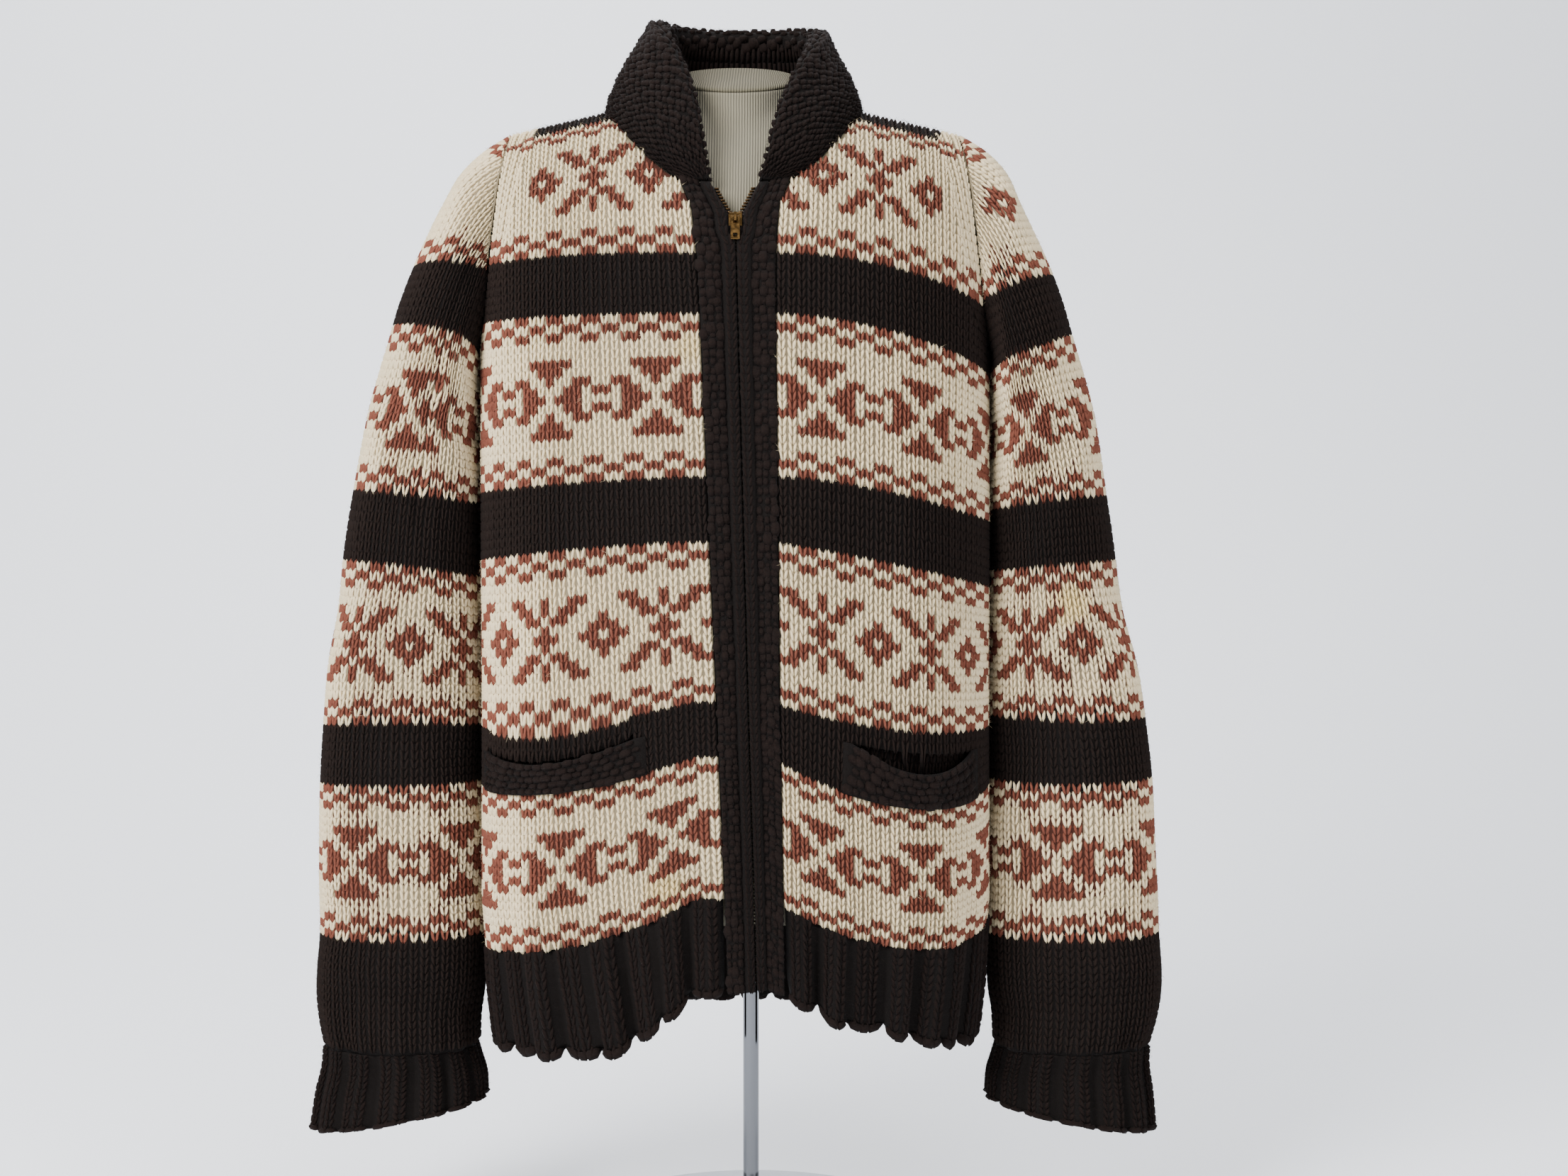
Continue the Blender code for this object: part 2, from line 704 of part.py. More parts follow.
BAND_ROWS = (
    -RIB_ROWS, -6.0, 0.0, 6.0, 12.0, 19.0, 26.0, 33.0, 40.0, 46.0, 52.0, 58.0, 64.0, 70.0, 75.0,
    79.3, 80.5, 82.8, 84.2, BAND_TOP_ROW,
)
BAND_OUTER = (0.0000, 0.0006, 0.0010, 0.0008)
BAND_INNER = (0.0020, 0.0020, 0.0044, 0.0044)


def make_band(side, word):
    """Garter-stitch band down one front edge, thinner where it lies over the zip."""

    def offsets(row):
        near = lookup(BAND_EDGE, row)
        far = lookup(FRONT_EDGE, min(row, 83.0)) - 2 * GAP
        return near, near + 0.0026, near + 0.0026 + (far - near) * 0.22, far

    grid = front_points(BAND_ROWS, offsets, side)
    out = outward(grid)
    outer = moved(grid, out, lambda i, j: BAND_OUTER[j])
    inner = moved(grid, out, lambda i, j: -BAND_INNER[j])
    paint(wall("front_band_" + word, outer, inner), BROWN)


TAPE_ROWS = (
    -RIB_ROWS + 0.4, 0.0, 13.0, 26.0, 39.0, 52.0, 64.0, 72.0, 78.0, 81.7, 82.2, 82.8, 84.2, 86.0,
)
# Section of a zip tape with the bead of its teeth: distance past the bead's edge, and rise.
TAPE_SECTION = (
    (0.0000, 0.00105),
    (0.0026, 0.00105),
    (0.0031, -0.00115),
    (0.0100, -0.00170),
    (0.0100, -0.00240),
    (0.0031, -0.00190),
    (0.0024, -0.00105),
    (0.0000, -0.00105),
)


def make_tape(side, word):
    offsets = lambda row: [lookup(CHAIN_EDGE, row) + along for along, _ in TAPE_SECTION]
    edge = lambda row: (lookup(CHAIN_EDGE, row), lookup(CHAIN_EDGE, row) + 0.008)
    out = outward(front_points(TAPE_ROWS, edge, side))
    grid = front_points(TAPE_ROWS, offsets, side)
    mesh = bmesh.new()
    rings = []
    for line, ways in zip(grid, out):
        way = ways[0]
        rings.append(
            [mesh.verts.new(p + way * (rise - CHAIN_DEPTH)) for p, (_, rise) in zip(line, TAPE_SECTION)]
        )
    count = len(TAPE_SECTION)
    for a, b in zip(rings, rings[1:]):
        for j in range(count):
            k = (j + 1) % count
            mesh.faces.new((a[j], a[k], b[k], b[j]))
    mesh.faces.new(rings[0])
    mesh.faces.new(rings[-1])
    bmesh.ops.recalc_face_normals(mesh, faces=mesh.faces)
    paint(finish("zip_tape_" + word, mesh, False), BROWN)


def slider_frame():
    """Matrix of the slider: x across, y out of the cloth, z up along it, from the middle of the chain."""
    here, above = (
        body_point(row, front_angle(row, 0.0, 1), 1, -1) for row in (SLIDER_ROW, SLIDER_ROW + 0.4)
    )
    up = (above - here).normalized()
    up.x = 0.0
    up.normalize()
    out = Vector((1, 0, 0)).cross(up).normalized()
    out = out if out.y < 0 else -out
    origin = here - out * CHAIN_DEPTH
    across = out.cross(up)
    turn = Matrix((across, out, up)).transposed().to_4x4()
    return Matrix.Translation(origin) @ turn


def block(size, centre, bevel=0.0):
    """A cuboid in a new mesh, with its edges rounded."""
    mesh = bmesh.new()
    bmesh.ops.create_cube(mesh, size=1.0)
    bmesh.ops.scale(mesh, vec=size, verts=mesh.verts)
    if bevel:
        bmesh.ops.bevel(
            mesh, geom=mesh.edges, offset=bevel, segments=1, profile=0.5, affect="EDGES", material=-1
        )
    bmesh.ops.translate(mesh, vec=centre, verts=mesh.verts)
    return mesh


def helper(name, mesh, frame):
    data = bpy.data.meshes.new(name)
    mesh.transform(frame)
    mesh.to_mesh(data)
    mesh.free()
    part = bpy.data.objects.new(name, data)
    part.hide_render = True
    CUTTERS.objects.link(part)
    return part


def combine(part, other, operation):
    modifier = part.modifiers.new(other.name, "BOOLEAN")
    modifier.object = other
    modifier.operation = operation
    modifier.solver = "EXACT"


def make_slider():
    frame = slider_frame()
    wide = 2 * SLIDER_HALF
    plate = block((wide, 0.0010, 0.0096), (0, 0.0020, 0), 0.0003)
    plate.transform(frame)
    part = finish("zip_slider", plate, False)
    rear = block((0.0052, 0.0010, 0.0096), (0, -0.0020, 0), 0.0002)
    combine(part, helper("slider_rear", rear, frame), "UNION")
    post = block((0.0012, 0.0038, 0.0016), (0, 0.0, 0.0038))
    combine(part, helper("slider_post", post, frame), "UNION")
    bridge = block((0.0020, 0.0048, 0.0064), (0, 0.0044, 0.0006), 0.0004)
    combine(part, helper("slider_bridge", bridge, frame), "UNION")
    hole = block((0.0040, 0.0020, 0.0030), (0, PULL_AXIS_RISE, 0.0006))
    combine(part, helper("slider_hole", hole, frame), "DIFFERENCE")
    paint(part, BRASS, 0.3, 1.0)
    return frame


def make_pull(frame):
    """Tab that hangs from the slider's bridge, lying down along the cloth."""
    axis = frame @ Vector((0, PULL_AXIS_RISE, 0.0006))
    turn = frame.to_3x3().to_4x4()
    tab = block((PULL_WIDTH, PULL_THICK, PULL_LENGTH), (0, 0, -PULL_LENGTH / 2 + 0.0006), 0.0003)
    tab.transform(turn)
    part = finish("zip_pull", tab, False)
    part.location = axis
    here = Matrix.Translation(axis) @ turn
    window = block((0.0034, 0.003, 0.0046), (0, 0, -0.0029))
    combine(part, helper("pull_window", window, here), "DIFFERENCE")
    slot = block((0.0030, 0.003, 0.0028), (0, 0, -0.0135), 0.0004)
    combine(part, helper("pull_slot", slot, here), "DIFFERENCE")
    paint(part, BRASS, 0.3, 1.0)


SLEEVE_ROUND = 20
SLEEVE_POWER = 2.15


def station(table, place, side):
    """Outer point, inner point, half depth and middle y of a sleeve section, between its stations."""
    last = len(table) - 1
    i = min(int(place), last - 1)
    share = place - i
    rows = [table[min(max(k, 0), last)] for k in (i - 1, i, i + 1, i + 2)]
    values = []
    for column in range(7):
        a, b, c, d = (row[column] for row in rows)
        curve = 2 * b + (c - a) * share + (2 * a - 5 * b + 4 * c - d) * share**2
        values.append((curve + (3 * b - a - 3 * c + d) * share**3) / 2)
    outer_x = values[0] if side < 0 else values[1]
    return (outer_x, values[2]), (values[3], values[4]), values[5], values[6]


def on_armhole(edge, z):
    """Point at this height on one edge of the armhole, which runs from the underarm to the shoulder."""
    for low, high in zip(edge, edge[1:]):
        if z <= high.z:
            return low.lerp(high, max(z - low.z, 0.0) / (high.z - low.z))
    return edge[-1].copy()


def sleeve_point(table, place, degrees, side, armhole):
    """Point round a sleeve section: 0 at its outer edge, 90 at its back, 180 inside, 270 in front."""
    outer, inner, depth, middle = station(table, place, side)
    angle = math.radians(degrees)
    along = spow(math.cos(angle), 2 / SLEEVE_POWER)
    across = spow(math.sin(angle), 2 / SLEEVE_POWER)
    x = (outer[0] + inner[0]) / 2 + along * (outer[0] - inner[0]) / 2
    z = (outer[1] + inner[1]) / 2 + along * (outer[1] - inner[1]) / 2
    point = Vector((CENTRE_X + side * x, middle + across * depth, z))
    if table is not SLEEVE or place > 1.5:
        return point
    edge = armhole[0 if across < 0 else 1]
    z = edge[0].z + (edge[-1].z - edge[0].z) * (along + 1) / 2
    start = on_armhole(edge, z) + Vector((side * ARMHOLE_GAP, 0, 0))
    if abs(across) < 0.01:
        start.y = 0.0
    return start.lerp(point, smooth(place / 1.5))


def crease(place, degrees):
    """How far the sleeve's creases draw a point in."""
    total = 0.0
    for centre, turn, half_length, half_width, depth, slant in SLEEVE_CREASES:
        around = (degrees - turn + 180.0) % 360.0 - 180.0
        offset = place - centre - slant * around
        total -= depth * math.exp(-((around / half_length) ** 2) - (offset / half_width) ** 2)
        total += 0.5 * depth * math.exp(-((around / half_length) ** 2) - ((offset - 0.8) / half_width) ** 2)
    return total * smooth(place / 2.0)


def tube_grid(table, places, side, count, armhole):
    grid = [
        [sleeve_point(table, place, 360.0 * j / count, side, armhole) for j in range(count)]
        for place in places
    ]
    out = normals(grid, wrap=True)
    middle = sum(grid[-1], Vector()) / count
    if (grid[-1][0] - middle).dot(out[-1][0]) < 0:
        out = [[-n for n in line] for line in out]
    return grid, out


# Places along the sleeve. Its lower half starts just below the elbow's band, at SLEEVE_SPLIT.
SLEEVE_PLACES = (
    0.0, 0.5, 1.0, 1.6, 2.3, 3.0, 3.8, 4.6, 5.4, 6.194,
    6.206, 7.0, 7.9, 8.8, 9.7, 10.6, 11.4, 12.2, 13.0,
)
SLEEVE_SPLIT = 10
CUFF_PLACES = (0.05, 1.0, 2.0, 3.0)
CUFF_RIBS = 14


def clear_of_body(grid, side):
    """Points of the underarm kept off the body's side."""
    limit = CHEST_HALF_WIDTH + 2 * ARMHOLE_GAP
    for p in (p for line in grid for p in line if p.z < ARMHOLE[1][0]):
        p.x = CENTRE_X + side * max(side * (p.x - CENTRE_X), limit)
    return grid


def armhole_edge(grid, column):
    """The edge of a panel along its armhole, from the last point of its side seam."""
    line = [row[column] for row in grid]
    first = max(i for i, p in enumerate(line) if p.z <= ARMHOLE[0][0])
    return line[first:]


def make_sleeve(side, word, front, back):
    armhole = armhole_edge(front[0], -1), armhole_edge(back[0], 0 if side < 0 else -1)
    grid, out = tube_grid(SLEEVE, SLEEVE_PLACES, side, SLEEVE_ROUND, armhole)
    out[SLEEVE_SPLIT - 1] = out[SLEEVE_SPLIT]
    step = 360.0 / SLEEVE_ROUND
    outer = moved(grid, out, lambda i, j: crease(SLEEVE_PLACES[i], j * step))
    outer = clear_of_body(outer, side)
    inner = clear_of_body(moved(outer, out, -WALL), side)
    for p, q in zip(inner[0], outer[0]):
        p.x = CENTRE_X + side * max(side * (p.x - CENTRE_X), side * (q.x - CENTRE_X))
    for half, levels in (("upper", slice(0, SLEEVE_SPLIT)), ("lower", slice(SLEEVE_SPLIT, None))):
        name = "sleeve_" + half + "_" + word
        paint(wall(name, outer[levels], inner[levels], wrap=True), CREAM)
    count = 4 * CUFF_RIBS
    grid, out = tube_grid(CUFF, CUFF_PLACES, side, count, armhole)
    outer = moved(grid, out, lambda i, j: RIB_RISES[j % 4])
    inner = moved(grid, out, -WALL - RIB_BACK)
    paint(wall("cuff_rib_" + word, outer, inner, wrap=True), BROWN)


def neck_edge(fronts, back):
    """Neck edge from the left band over the nape to the right band: point, way off the panel, normal."""
    first = FRONT_LEVELS.index(86.5)
    runs = {}
    for side in (-1, 1):
        grid, out = fronts[side]
        runs[side] = [(grid[i][0], grid[i][0] - grid[i][1], out[i][0]) for i in range(first, len(grid))]
    start, end = BACK_SHOULDER_COLUMNS, BACK_SHOULDER_COLUMNS + BACK_NECK_COLUMNS
    grid, out = back
    nape = [(grid[-1][j], grid[-1][j] - grid[-2][j], out[-1][j]) for j in range(start + 1, end)]
    corners = runs[-1] + nape + runs[1][::-1]
    squared = []
    for i, (point, off, way) in enumerate(corners):
        along = corners[min(i + 1, len(corners) - 1)][0] - corners[max(i - 1, 0)][0]
        square = along.cross(way).normalized()
        squared.append((point, square if square.dot(off) > 0 else -square, way))
    return squared


def collar_free(place, side):
    """Free edge of the collar and how far its middle stands out, from the band (0) to the nape (1)."""
    table = [(at, *values) for at, values in zip(COLLAR_PLACES, COLLAR_EDGE)]
    x = lookup(table, place, 1 if side < 0 else 2)
    z = lookup(table, place, 4 if side < 0 else 5)
    bulge = lookup(list(zip(COLLAR_PLACES, COLLAR_BULGE)), place)
    return Vector((CENTRE_X + side * x, lookup(table, place, 3), z)), bulge


COLLAR_LEVELS = 7


def make_collar(fronts, back):
    """Standing shawl collar: one thick wall round the neck, its free edge leaning in."""
    edge = neck_edge(fronts, back)
    lengths = [0.0]
    for a, b in zip(edge, edge[1:]):
        lengths.append(lengths[-1] + (b[0] - a[0]).length)
    columns = []
    for (point, off, way), length in zip(edge, lengths):
        run = 2.0 * length / lengths[-1]
        side = -1 if run <= 1.0 else 1
        place = run if side < 0 else 2.0 - run
        free, bulge = collar_free(place, side)
        base = point + off.normalized() * COLLAR_GAP - way * WALL / 2
        if place < 0.001:
            tip = body_point(86.5, front_angle(86.5, 0.0172, side), side, -1)
            free = tip + off.normalized() * COLLAR_GAP - way * WALL / 2
            base.z += COLLAR_GAP
            free.z += COLLAR_GAP
        away = Vector((base.x - CENTRE_X, base.y, 0.0)).normalized()
        columns.append((base, free, bulge, away))
    grid = []
    for level in range(COLLAR_LEVELS + 1):
        share = level / COLLAR_LEVELS
        rise = math.sin(math.pi * share)
        grid.append([base.lerp(free, share) + away * bulge * rise for base, free, bulge, away in columns])
    out = [[-n if n.dot(c[3]) < 0 else n for n, c in zip(line, columns)] for line in normals(grid)]
    swell = [smooth(3.0 * i / COLLAR_LEVELS) for i in range(COLLAR_LEVELS)]
    half = [0.5 * (WALL + (COLLAR_WALL - WALL) * share) for share in swell]
    half.append(0.3 * COLLAR_WALL)
    outer = moved(grid, out, lambda i, j: half[i])
    inner = moved(grid, out, lambda i, j: -half[i])
    outer[0] = [p + way * WALL / 2 for p, (_, _, way) in zip(grid[0], edge)]
    inner[0] = [p - way * WALL / 2 for p, (_, _, way) in zip(grid[0], edge)]
    paint(wall("collar", outer, inner), BROWN)


FORM_ROUND = 30
# Share of the way in from the chest's section to the neck, for the rings over the shoulders.
FORM_TOP_RINGS = (0.985, 0.94, 0.86, 0.76, 0.66, 0.56, 0.47)
NECK_RINGS = (0.0, 0.35, 0.75, 1.0)


def form_top(x, y):
    """Height of the form's shoulders over a point of its plan."""
    past = max(0.0, abs(x) - FORM_SHOULDER_X) / (FORM_SECTIONS[-1][1] - FORM_SHOULDER_X)
    high = ridge_z(x) - WALL - FORM_CLEAR
    high -= (high - FORM_BEND_Z) * (1.0 - (1.0 - min(past, 1.0) ** 2.4) ** (1 / 2.4))
    full = FORM_SECTIONS[-1][2] if y < 0 else FORM_SECTIONS[-1][3]
    width = (1.0 - min(abs(x) / FORM_SECTIONS[-1][1], 1.0) ** SECTION_POWER) ** (1 / SECTION_POWER)
    ratio = min(abs(y) / max(full * width, 1e-6), 1.0)
    return FORM_BEND_Z + (high - FORM_BEND_Z) * (1.0 - ratio**BEND_POWER) ** (1 / BEND_POWER)


def form_ring(half, front, rear, height=None, shrink=1.0):
    ring = []
    for j in range(FORM_ROUND):
        angle = 2 * math.pi * j / FORM_ROUND
        x = half * shrink * spow(math.sin(angle), 2 / SECTION_POWER)
        y = spow(-math.cos(angle), 2 / SECTION_POWER)
        y *= (front if y < 0 else rear) * shrink
        ring.append(Vector((x, y, height if height is not None else form_top(x, y))))
    return ring


def neck_ring(share, last):
    ring = []
    for j in range(FORM_ROUND):
        angle = 2 * math.pi * j / FORM_ROUND
        x = NECK_HALF_WIDTH * math.sin(angle)
        y = NECK_Y - NECK_HALF_DEPTH * math.cos(angle)
        top = NECK_TOP_Z + NECK_TOP_TILT * y
        flare = 1.0 + 0.10 * (1.0 - share) ** 2
        low = 0.45 * last[j].z + 0.55 * 0.822
        ring.append(Vector((x * flare, NECK_Y + (y - NECK_Y) * flare, low + (top - low) * share)))
    return ring


def loft(name, rings, colour, roughness=0.85):
    """A closed solid through rings of equal count, with flat ends."""
    mesh = bmesh.new()
    made = [[mesh.verts.new(p + Vector((CENTRE_X, 0, 0))) for p in ring] for ring in rings]
    count = len(rings[0])
    for a, b in zip(made, made[1:]):
        for j in range(count):
            k = (j + 1) % count
            mesh.faces.new((a[j], a[k], b[k], b[j]))
    mesh.faces.new(made[0])
    mesh.faces.new(made[-1])
    bmesh.ops.recalc_face_normals(mesh, faces=mesh.faces)
    part = finish(name, mesh)
    paint(part, colour, roughness)
    return part


def make_form():
    rings = [form_ring(half, front, rear, z) for z, half, front, rear in FORM_SECTIONS]
    _, half, front, rear = FORM_SECTIONS[-1]
    rings += [form_ring(half, front, rear, None, shrink) for shrink in FORM_TOP_RINGS]
    base = rings[-1]
    rings += [neck_ring(share, base) for share in NECK_RINGS]
    loft("dress_form", rings, JERSEY)
    top = rings[-1]
    rise = Vector((0, -NECK_TOP_TILT, 1)).normalized()
    middle = sum(top, Vector()) / len(top)
    cap = []
    for lift, shrink in ((0.0003, 0.985), (CAP_THICK * 0.6, 0.985), (CAP_THICK, 0.93)):
        cap.append([middle + (p - middle) * shrink + rise * lift for p in top])
    loft("neck_cap", cap, JERSEY)


def make_stand():
    base_top = BASE_THICK
    bottom = FORM_SECTIONS[0][0]
    for name, radius, low, high, sides, colour in (
        ("stand_base", BASE_RADIUS, 0.0, base_top, 64, STEEL),
        ("stand_pole", POLE_RADIUS, base_top + 0.0003, bottom - 0.0003, 20, STEEL),
    ):
        mesh = bmesh.new()
        bmesh.ops.create_cone(
            mesh, cap_ends=True, segments=sides, radius1=radius, radius2=radius, depth=high - low
        )
        if name == "stand_base":
            rim = [e for e in mesh.edges if all(v.co.z > 0 for v in e.verts) and len(e.link_faces) == 2]
            rim = [e for e in rim if any(len(f.verts) > 4 for f in e.link_faces)]
            bmesh.ops.bevel(
                mesh, geom=rim, offset=0.003, segments=2, profile=0.5, affect="EDGES", material=-1
            )
        bmesh.ops.translate(mesh, vec=(POLE_X, 0, (low + high) / 2), verts=mesh.verts)
        paint(finish(name, mesh), colour, 0.25, 1.0)


for old in list(bpy.data.objects):
    bpy.data.objects.remove(old, do_unlink=True)
PARTS = bpy.data.collections.new("cowichan_cardigan")
CUTTERS = bpy.data.collections.new("cutters")
bpy.context.scene.collection.children.link(PARTS)
bpy.context.scene.collection.children.link(CUTTERS)
CUTTERS.hide_render = True

back = make_back()
fronts = {}
for side, word in ((-1, "left"), (1, "right")):
    fronts[side] = make_front(side, "front_" + word)
    make_pocket(side, word, *fronts[side])
    make_band(side, word)
    make_tape(side, word)
    make_sleeve(side, word, fronts[side], back)
make_hem_ribs(fronts, back)
make_collar(fronts, back)
make_pull(make_slider())
make_form()
make_stand()
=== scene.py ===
"""Looks of a knitted cowichan cardigan on a limbless dress form. Metres, +Z up, its front faces -Y."""

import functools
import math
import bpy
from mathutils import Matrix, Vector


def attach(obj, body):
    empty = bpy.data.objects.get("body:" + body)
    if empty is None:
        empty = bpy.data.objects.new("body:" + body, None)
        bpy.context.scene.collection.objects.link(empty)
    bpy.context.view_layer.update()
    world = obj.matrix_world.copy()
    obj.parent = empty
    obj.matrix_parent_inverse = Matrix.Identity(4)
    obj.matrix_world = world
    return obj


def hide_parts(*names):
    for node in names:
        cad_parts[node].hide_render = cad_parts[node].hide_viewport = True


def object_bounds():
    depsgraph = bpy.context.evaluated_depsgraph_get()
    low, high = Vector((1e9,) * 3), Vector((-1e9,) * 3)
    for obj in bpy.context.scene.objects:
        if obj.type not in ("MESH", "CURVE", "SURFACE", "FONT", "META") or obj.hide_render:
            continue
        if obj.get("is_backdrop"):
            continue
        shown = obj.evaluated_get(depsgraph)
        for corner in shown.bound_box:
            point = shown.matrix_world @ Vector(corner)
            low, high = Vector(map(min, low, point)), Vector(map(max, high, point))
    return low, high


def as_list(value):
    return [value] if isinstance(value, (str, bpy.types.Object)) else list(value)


bl_info = {
    "name": "Cowichan cardigan",
    "version": (1, 0, 0),
    "blender": (4, 5, 0),
    "location": "View3D > Sidebar > Cardigan",
    "description": "Knits a zip cardigan, stitch by stitch",
    "category": "Object",
}

import bmesh
import bpy
import numpy as np
from bpy.props import FloatProperty, FloatVectorProperty, PointerProperty
from mathutils import Matrix, Vector

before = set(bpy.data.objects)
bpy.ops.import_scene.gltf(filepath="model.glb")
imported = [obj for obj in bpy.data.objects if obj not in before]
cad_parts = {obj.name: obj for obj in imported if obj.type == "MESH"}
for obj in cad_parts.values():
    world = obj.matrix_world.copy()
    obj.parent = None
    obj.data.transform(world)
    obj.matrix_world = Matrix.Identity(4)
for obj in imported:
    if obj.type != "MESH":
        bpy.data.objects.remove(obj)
CAD_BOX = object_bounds()
CLOTH_BODY = "garment_and_form"
SIDES = ((-1, "left"), (1, "right"))

# ---- sizes of the garment

RIB_ROWS = 11.0
YOKE_ROW = 78.0
TOP_ROW = 104.0
PANEL_ROWS = np.arange(0.0, TOP_ROW + 1)
EDGE_ROW = 66.0
NECK_ROW = 83.0
HELD_STITCH = 16
BAND_TOP_ROW = 86.3
WALL = 0.0040
COLLAR_WALL = 0.0065
GAP = 0.0002
ARMHOLE_GAP = 0.0007
COLLAR_GAP = 0.0006

CENTRE_X = -0.004
SECTION_POWER = 2.3
BEND_POWER = 2.2
BEND_Z = 0.690
CHEST_HALF_WIDTH = 0.185
CHEST_DEPTH = 0.110
# Share of the arc round the chest that a front band takes.
BAND_ARC = 0.026
RIDGE_NECK_X = 0.090
RIDGE_NECK_Z = 0.8310
RIDGE_FALL = 0.0160
SHOULDER_X = 0.162
BACK_NECK_DIP_ROWS = 12.5

# Height, half-width, front depth and back depth of the body.
BODY_SECTIONS = (
    (0.14, 0.176, 0.099, 0.098), (0.16, 0.1775, 0.101, 0.1), (0.2, 0.182, 0.106, 0.105),
    (0.26, 0.186, 0.112, 0.11), (0.4, 0.185, 0.111, 0.108), (0.56, 0.185, 0.11, 0.111),
    (0.69, 0.185, 0.11, 0.115),
)
# Height of each row at four shares of a panel's width, from its band.
SHARES = (0, 0.35, 0.70, 1.0)
LEFT_ROWS = (
    (-11, 0.21, 0.168, 0.157, 0.154), (0, 0.2753, 0.242, 0.228, 0.222),
    (19, 0.3736, 0.352, 0.343, 0.3434), (26, 0.4118, 0.396, 0.387, 0.3865),
    (45, 0.5216, 0.517, 0.51, 0.506), (52, 0.5667, 0.563, 0.558, 0.5545),
    (71, 0.678, 0.678, 0.677, 0.676), (78, 0.7195, 0.72, 0.718, 0.7166),
)
RIGHT_ROWS = (
    (-11, 0.2106, 0.182, 0.162, 0.164), (0, 0.2753, 0.241, 0.2345, 0.25),
    (19, 0.3736, 0.3415, 0.3355, 0.347), (26, 0.4118, 0.393, 0.386, 0.3865),
    (45, 0.5216, 0.5085, 0.4935, 0.4855), (52, 0.5667, 0.558, 0.542, 0.5335),
    (71, 0.678, 0.6695, 0.6505, 0.6335), (78, 0.7195, 0.7135, 0.6955, 0.677),
)
# Row, and half-width of the front opening to the panel's edge.
FRONT_EDGE = (
    (-11, 0.0205), (0, 0.0203), (26, 0.022), (52, 0.0245), (71, 0.0262), (78, 0.0275),
    (83, 0.03), (86.5, 0.038), (88, 0.05), (90, 0.0615), (93, 0.074), (97, 0.085),
    (101, 0.092), (104, 0.094),
)
# Where the hem sags beside the bands: share of the panel, its spread, and depth.
HEM_SAG = {-1: (0.26, 0.16, 0.0085), 1: (0.24, 0.10, 0.0050)}
OPENING_X_HEM = 0.0125
OPENING_X_TOP = -0.0020
# Height and distance from the body's centre of the armhole's edge.
ARMHOLE = (
    (0.655, 0.185), (0.66, 0.184), (0.668, 0.1818), (0.685, 0.1785), (0.71, 0.1755), (0.74, 0.172),
    (0.775, 0.168), (0.815, 0.162),
)
# Sleeve sections: outer x left and right, outer z, inner x, inner z, half depth, middle y.
SLEEVE = (
    (0.162, 0.162, 0.814, 0.1858, 0.655, 0.05, 0.0), (0.191, 0.191, 0.797, 0.1867, 0.639, 0.057, 0.001),
    (0.2125, 0.208, 0.764, 0.1867, 0.614, 0.059, 0.003),
    (0.235, 0.23, 0.718, 0.1867, 0.583, 0.059, 0.005), (0.2535, 0.2475, 0.67, 0.1867, 0.55, 0.058, 0.007),
    (0.269, 0.2625, 0.612, 0.1867, 0.513, 0.056, 0.009), (0.282, 0.273, 0.55, 0.1867, 0.472, 0.054, 0.01),
    (0.293, 0.284, 0.485, 0.1867, 0.427, 0.052, 0.011), (0.301, 0.297, 0.42, 0.1867, 0.378, 0.05, 0.012),
    (0.307, 0.307, 0.355, 0.1867, 0.325, 0.048, 0.012),
    (0.309, 0.311, 0.292, 0.1867, 0.272, 0.046, 0.012),
    (0.3105, 0.3155, 0.23, 0.1868, 0.22, 0.045, 0.012), (0.312, 0.316, 0.184, 0.188, 0.18, 0.044, 0.012),
    (0.3065, 0.307, 0.145, 0.1925, 0.1455, 0.041, 0.012),
)
CUFF = (
    (0.3062, 0.3067, 0.1445, 0.1937, 0.145, 0.041, 0.012),
    (0.307, 0.306, 0.13, 0.191, 0.134, 0.04, 0.012), (0.3115, 0.3085, 0.108, 0.188, 0.123, 0.0425, 0.01),
    (0.3145, 0.31, 0.085, 0.187, 0.108, 0.045, 0.008),
)
# Rows of a cuff below its join, and the place along CUFF of each.
CUFF_PLACES = ((-1.0, 2.7, 6.8, 11.0), (-0.2, 1.0, 2.0, 3.0))
# Last place along SLEEVE, and the rows of knitting up to its cap's top.
SLEEVE_END = 13.0
SLEEVE_KNIT_ROWS = 112
SLEEVE_POWER = 2.15
# Creases of a sleeve: place along and round it, half length in degrees, half width, depth, slant.
SLEEVE_CREASES = (
    (3.3, 250, 55, 0.42, 0.004, 0.012), (4.6, 285, 60, 0.4, 0.003, -0.01),
    (6.6, 300, 70, 0.45, 0.0035, 0.012), (8.0, 255, 60, 0.4, 0.003, -0.012),
    (10.6, 290, 75, 0.4, 0.0035, 0.006), (12, 250, 80, 0.35, 0.004, -0.004),
    (5.4, 90, 70, 0.45, 0.0035, 0.01), (9.4, 95, 70, 0.45, 0.003, -0.01),
)
# Row of a sleeve, and its height at the outer edge, middle and inner edge.
SLEEVE_ROWS = {
    -1: (
        (0, 0.148, 0.148, 0.148), (14, 0.23, 0.23, 0.231), (33, 0.342, 0.344, 0.344),
        (40, 0.3851, 0.3892, 0.3855), (59, 0.5066, 0.5025, 0.4941), (66, 0.5582, 0.5541, 0.5479),
        (85, 0.6773, 0.671, 0.656), (92, 0.7197, 0.7177, 0.7017),
    ),
    1: (
        (0, 0.148, 0.148, 0.148), (14, 0.231, 0.23, 0.23), (33, 0.346, 0.345, 0.345),
        (40, 0.3906, 0.3908, 0.3923), (59, 0.5066, 0.5032, 0.4987), (66, 0.554, 0.55, 0.543),
        (85, 0.6713, 0.6559, 0.6431), (92, 0.7138, 0.7017, 0.6851),
    ),
}
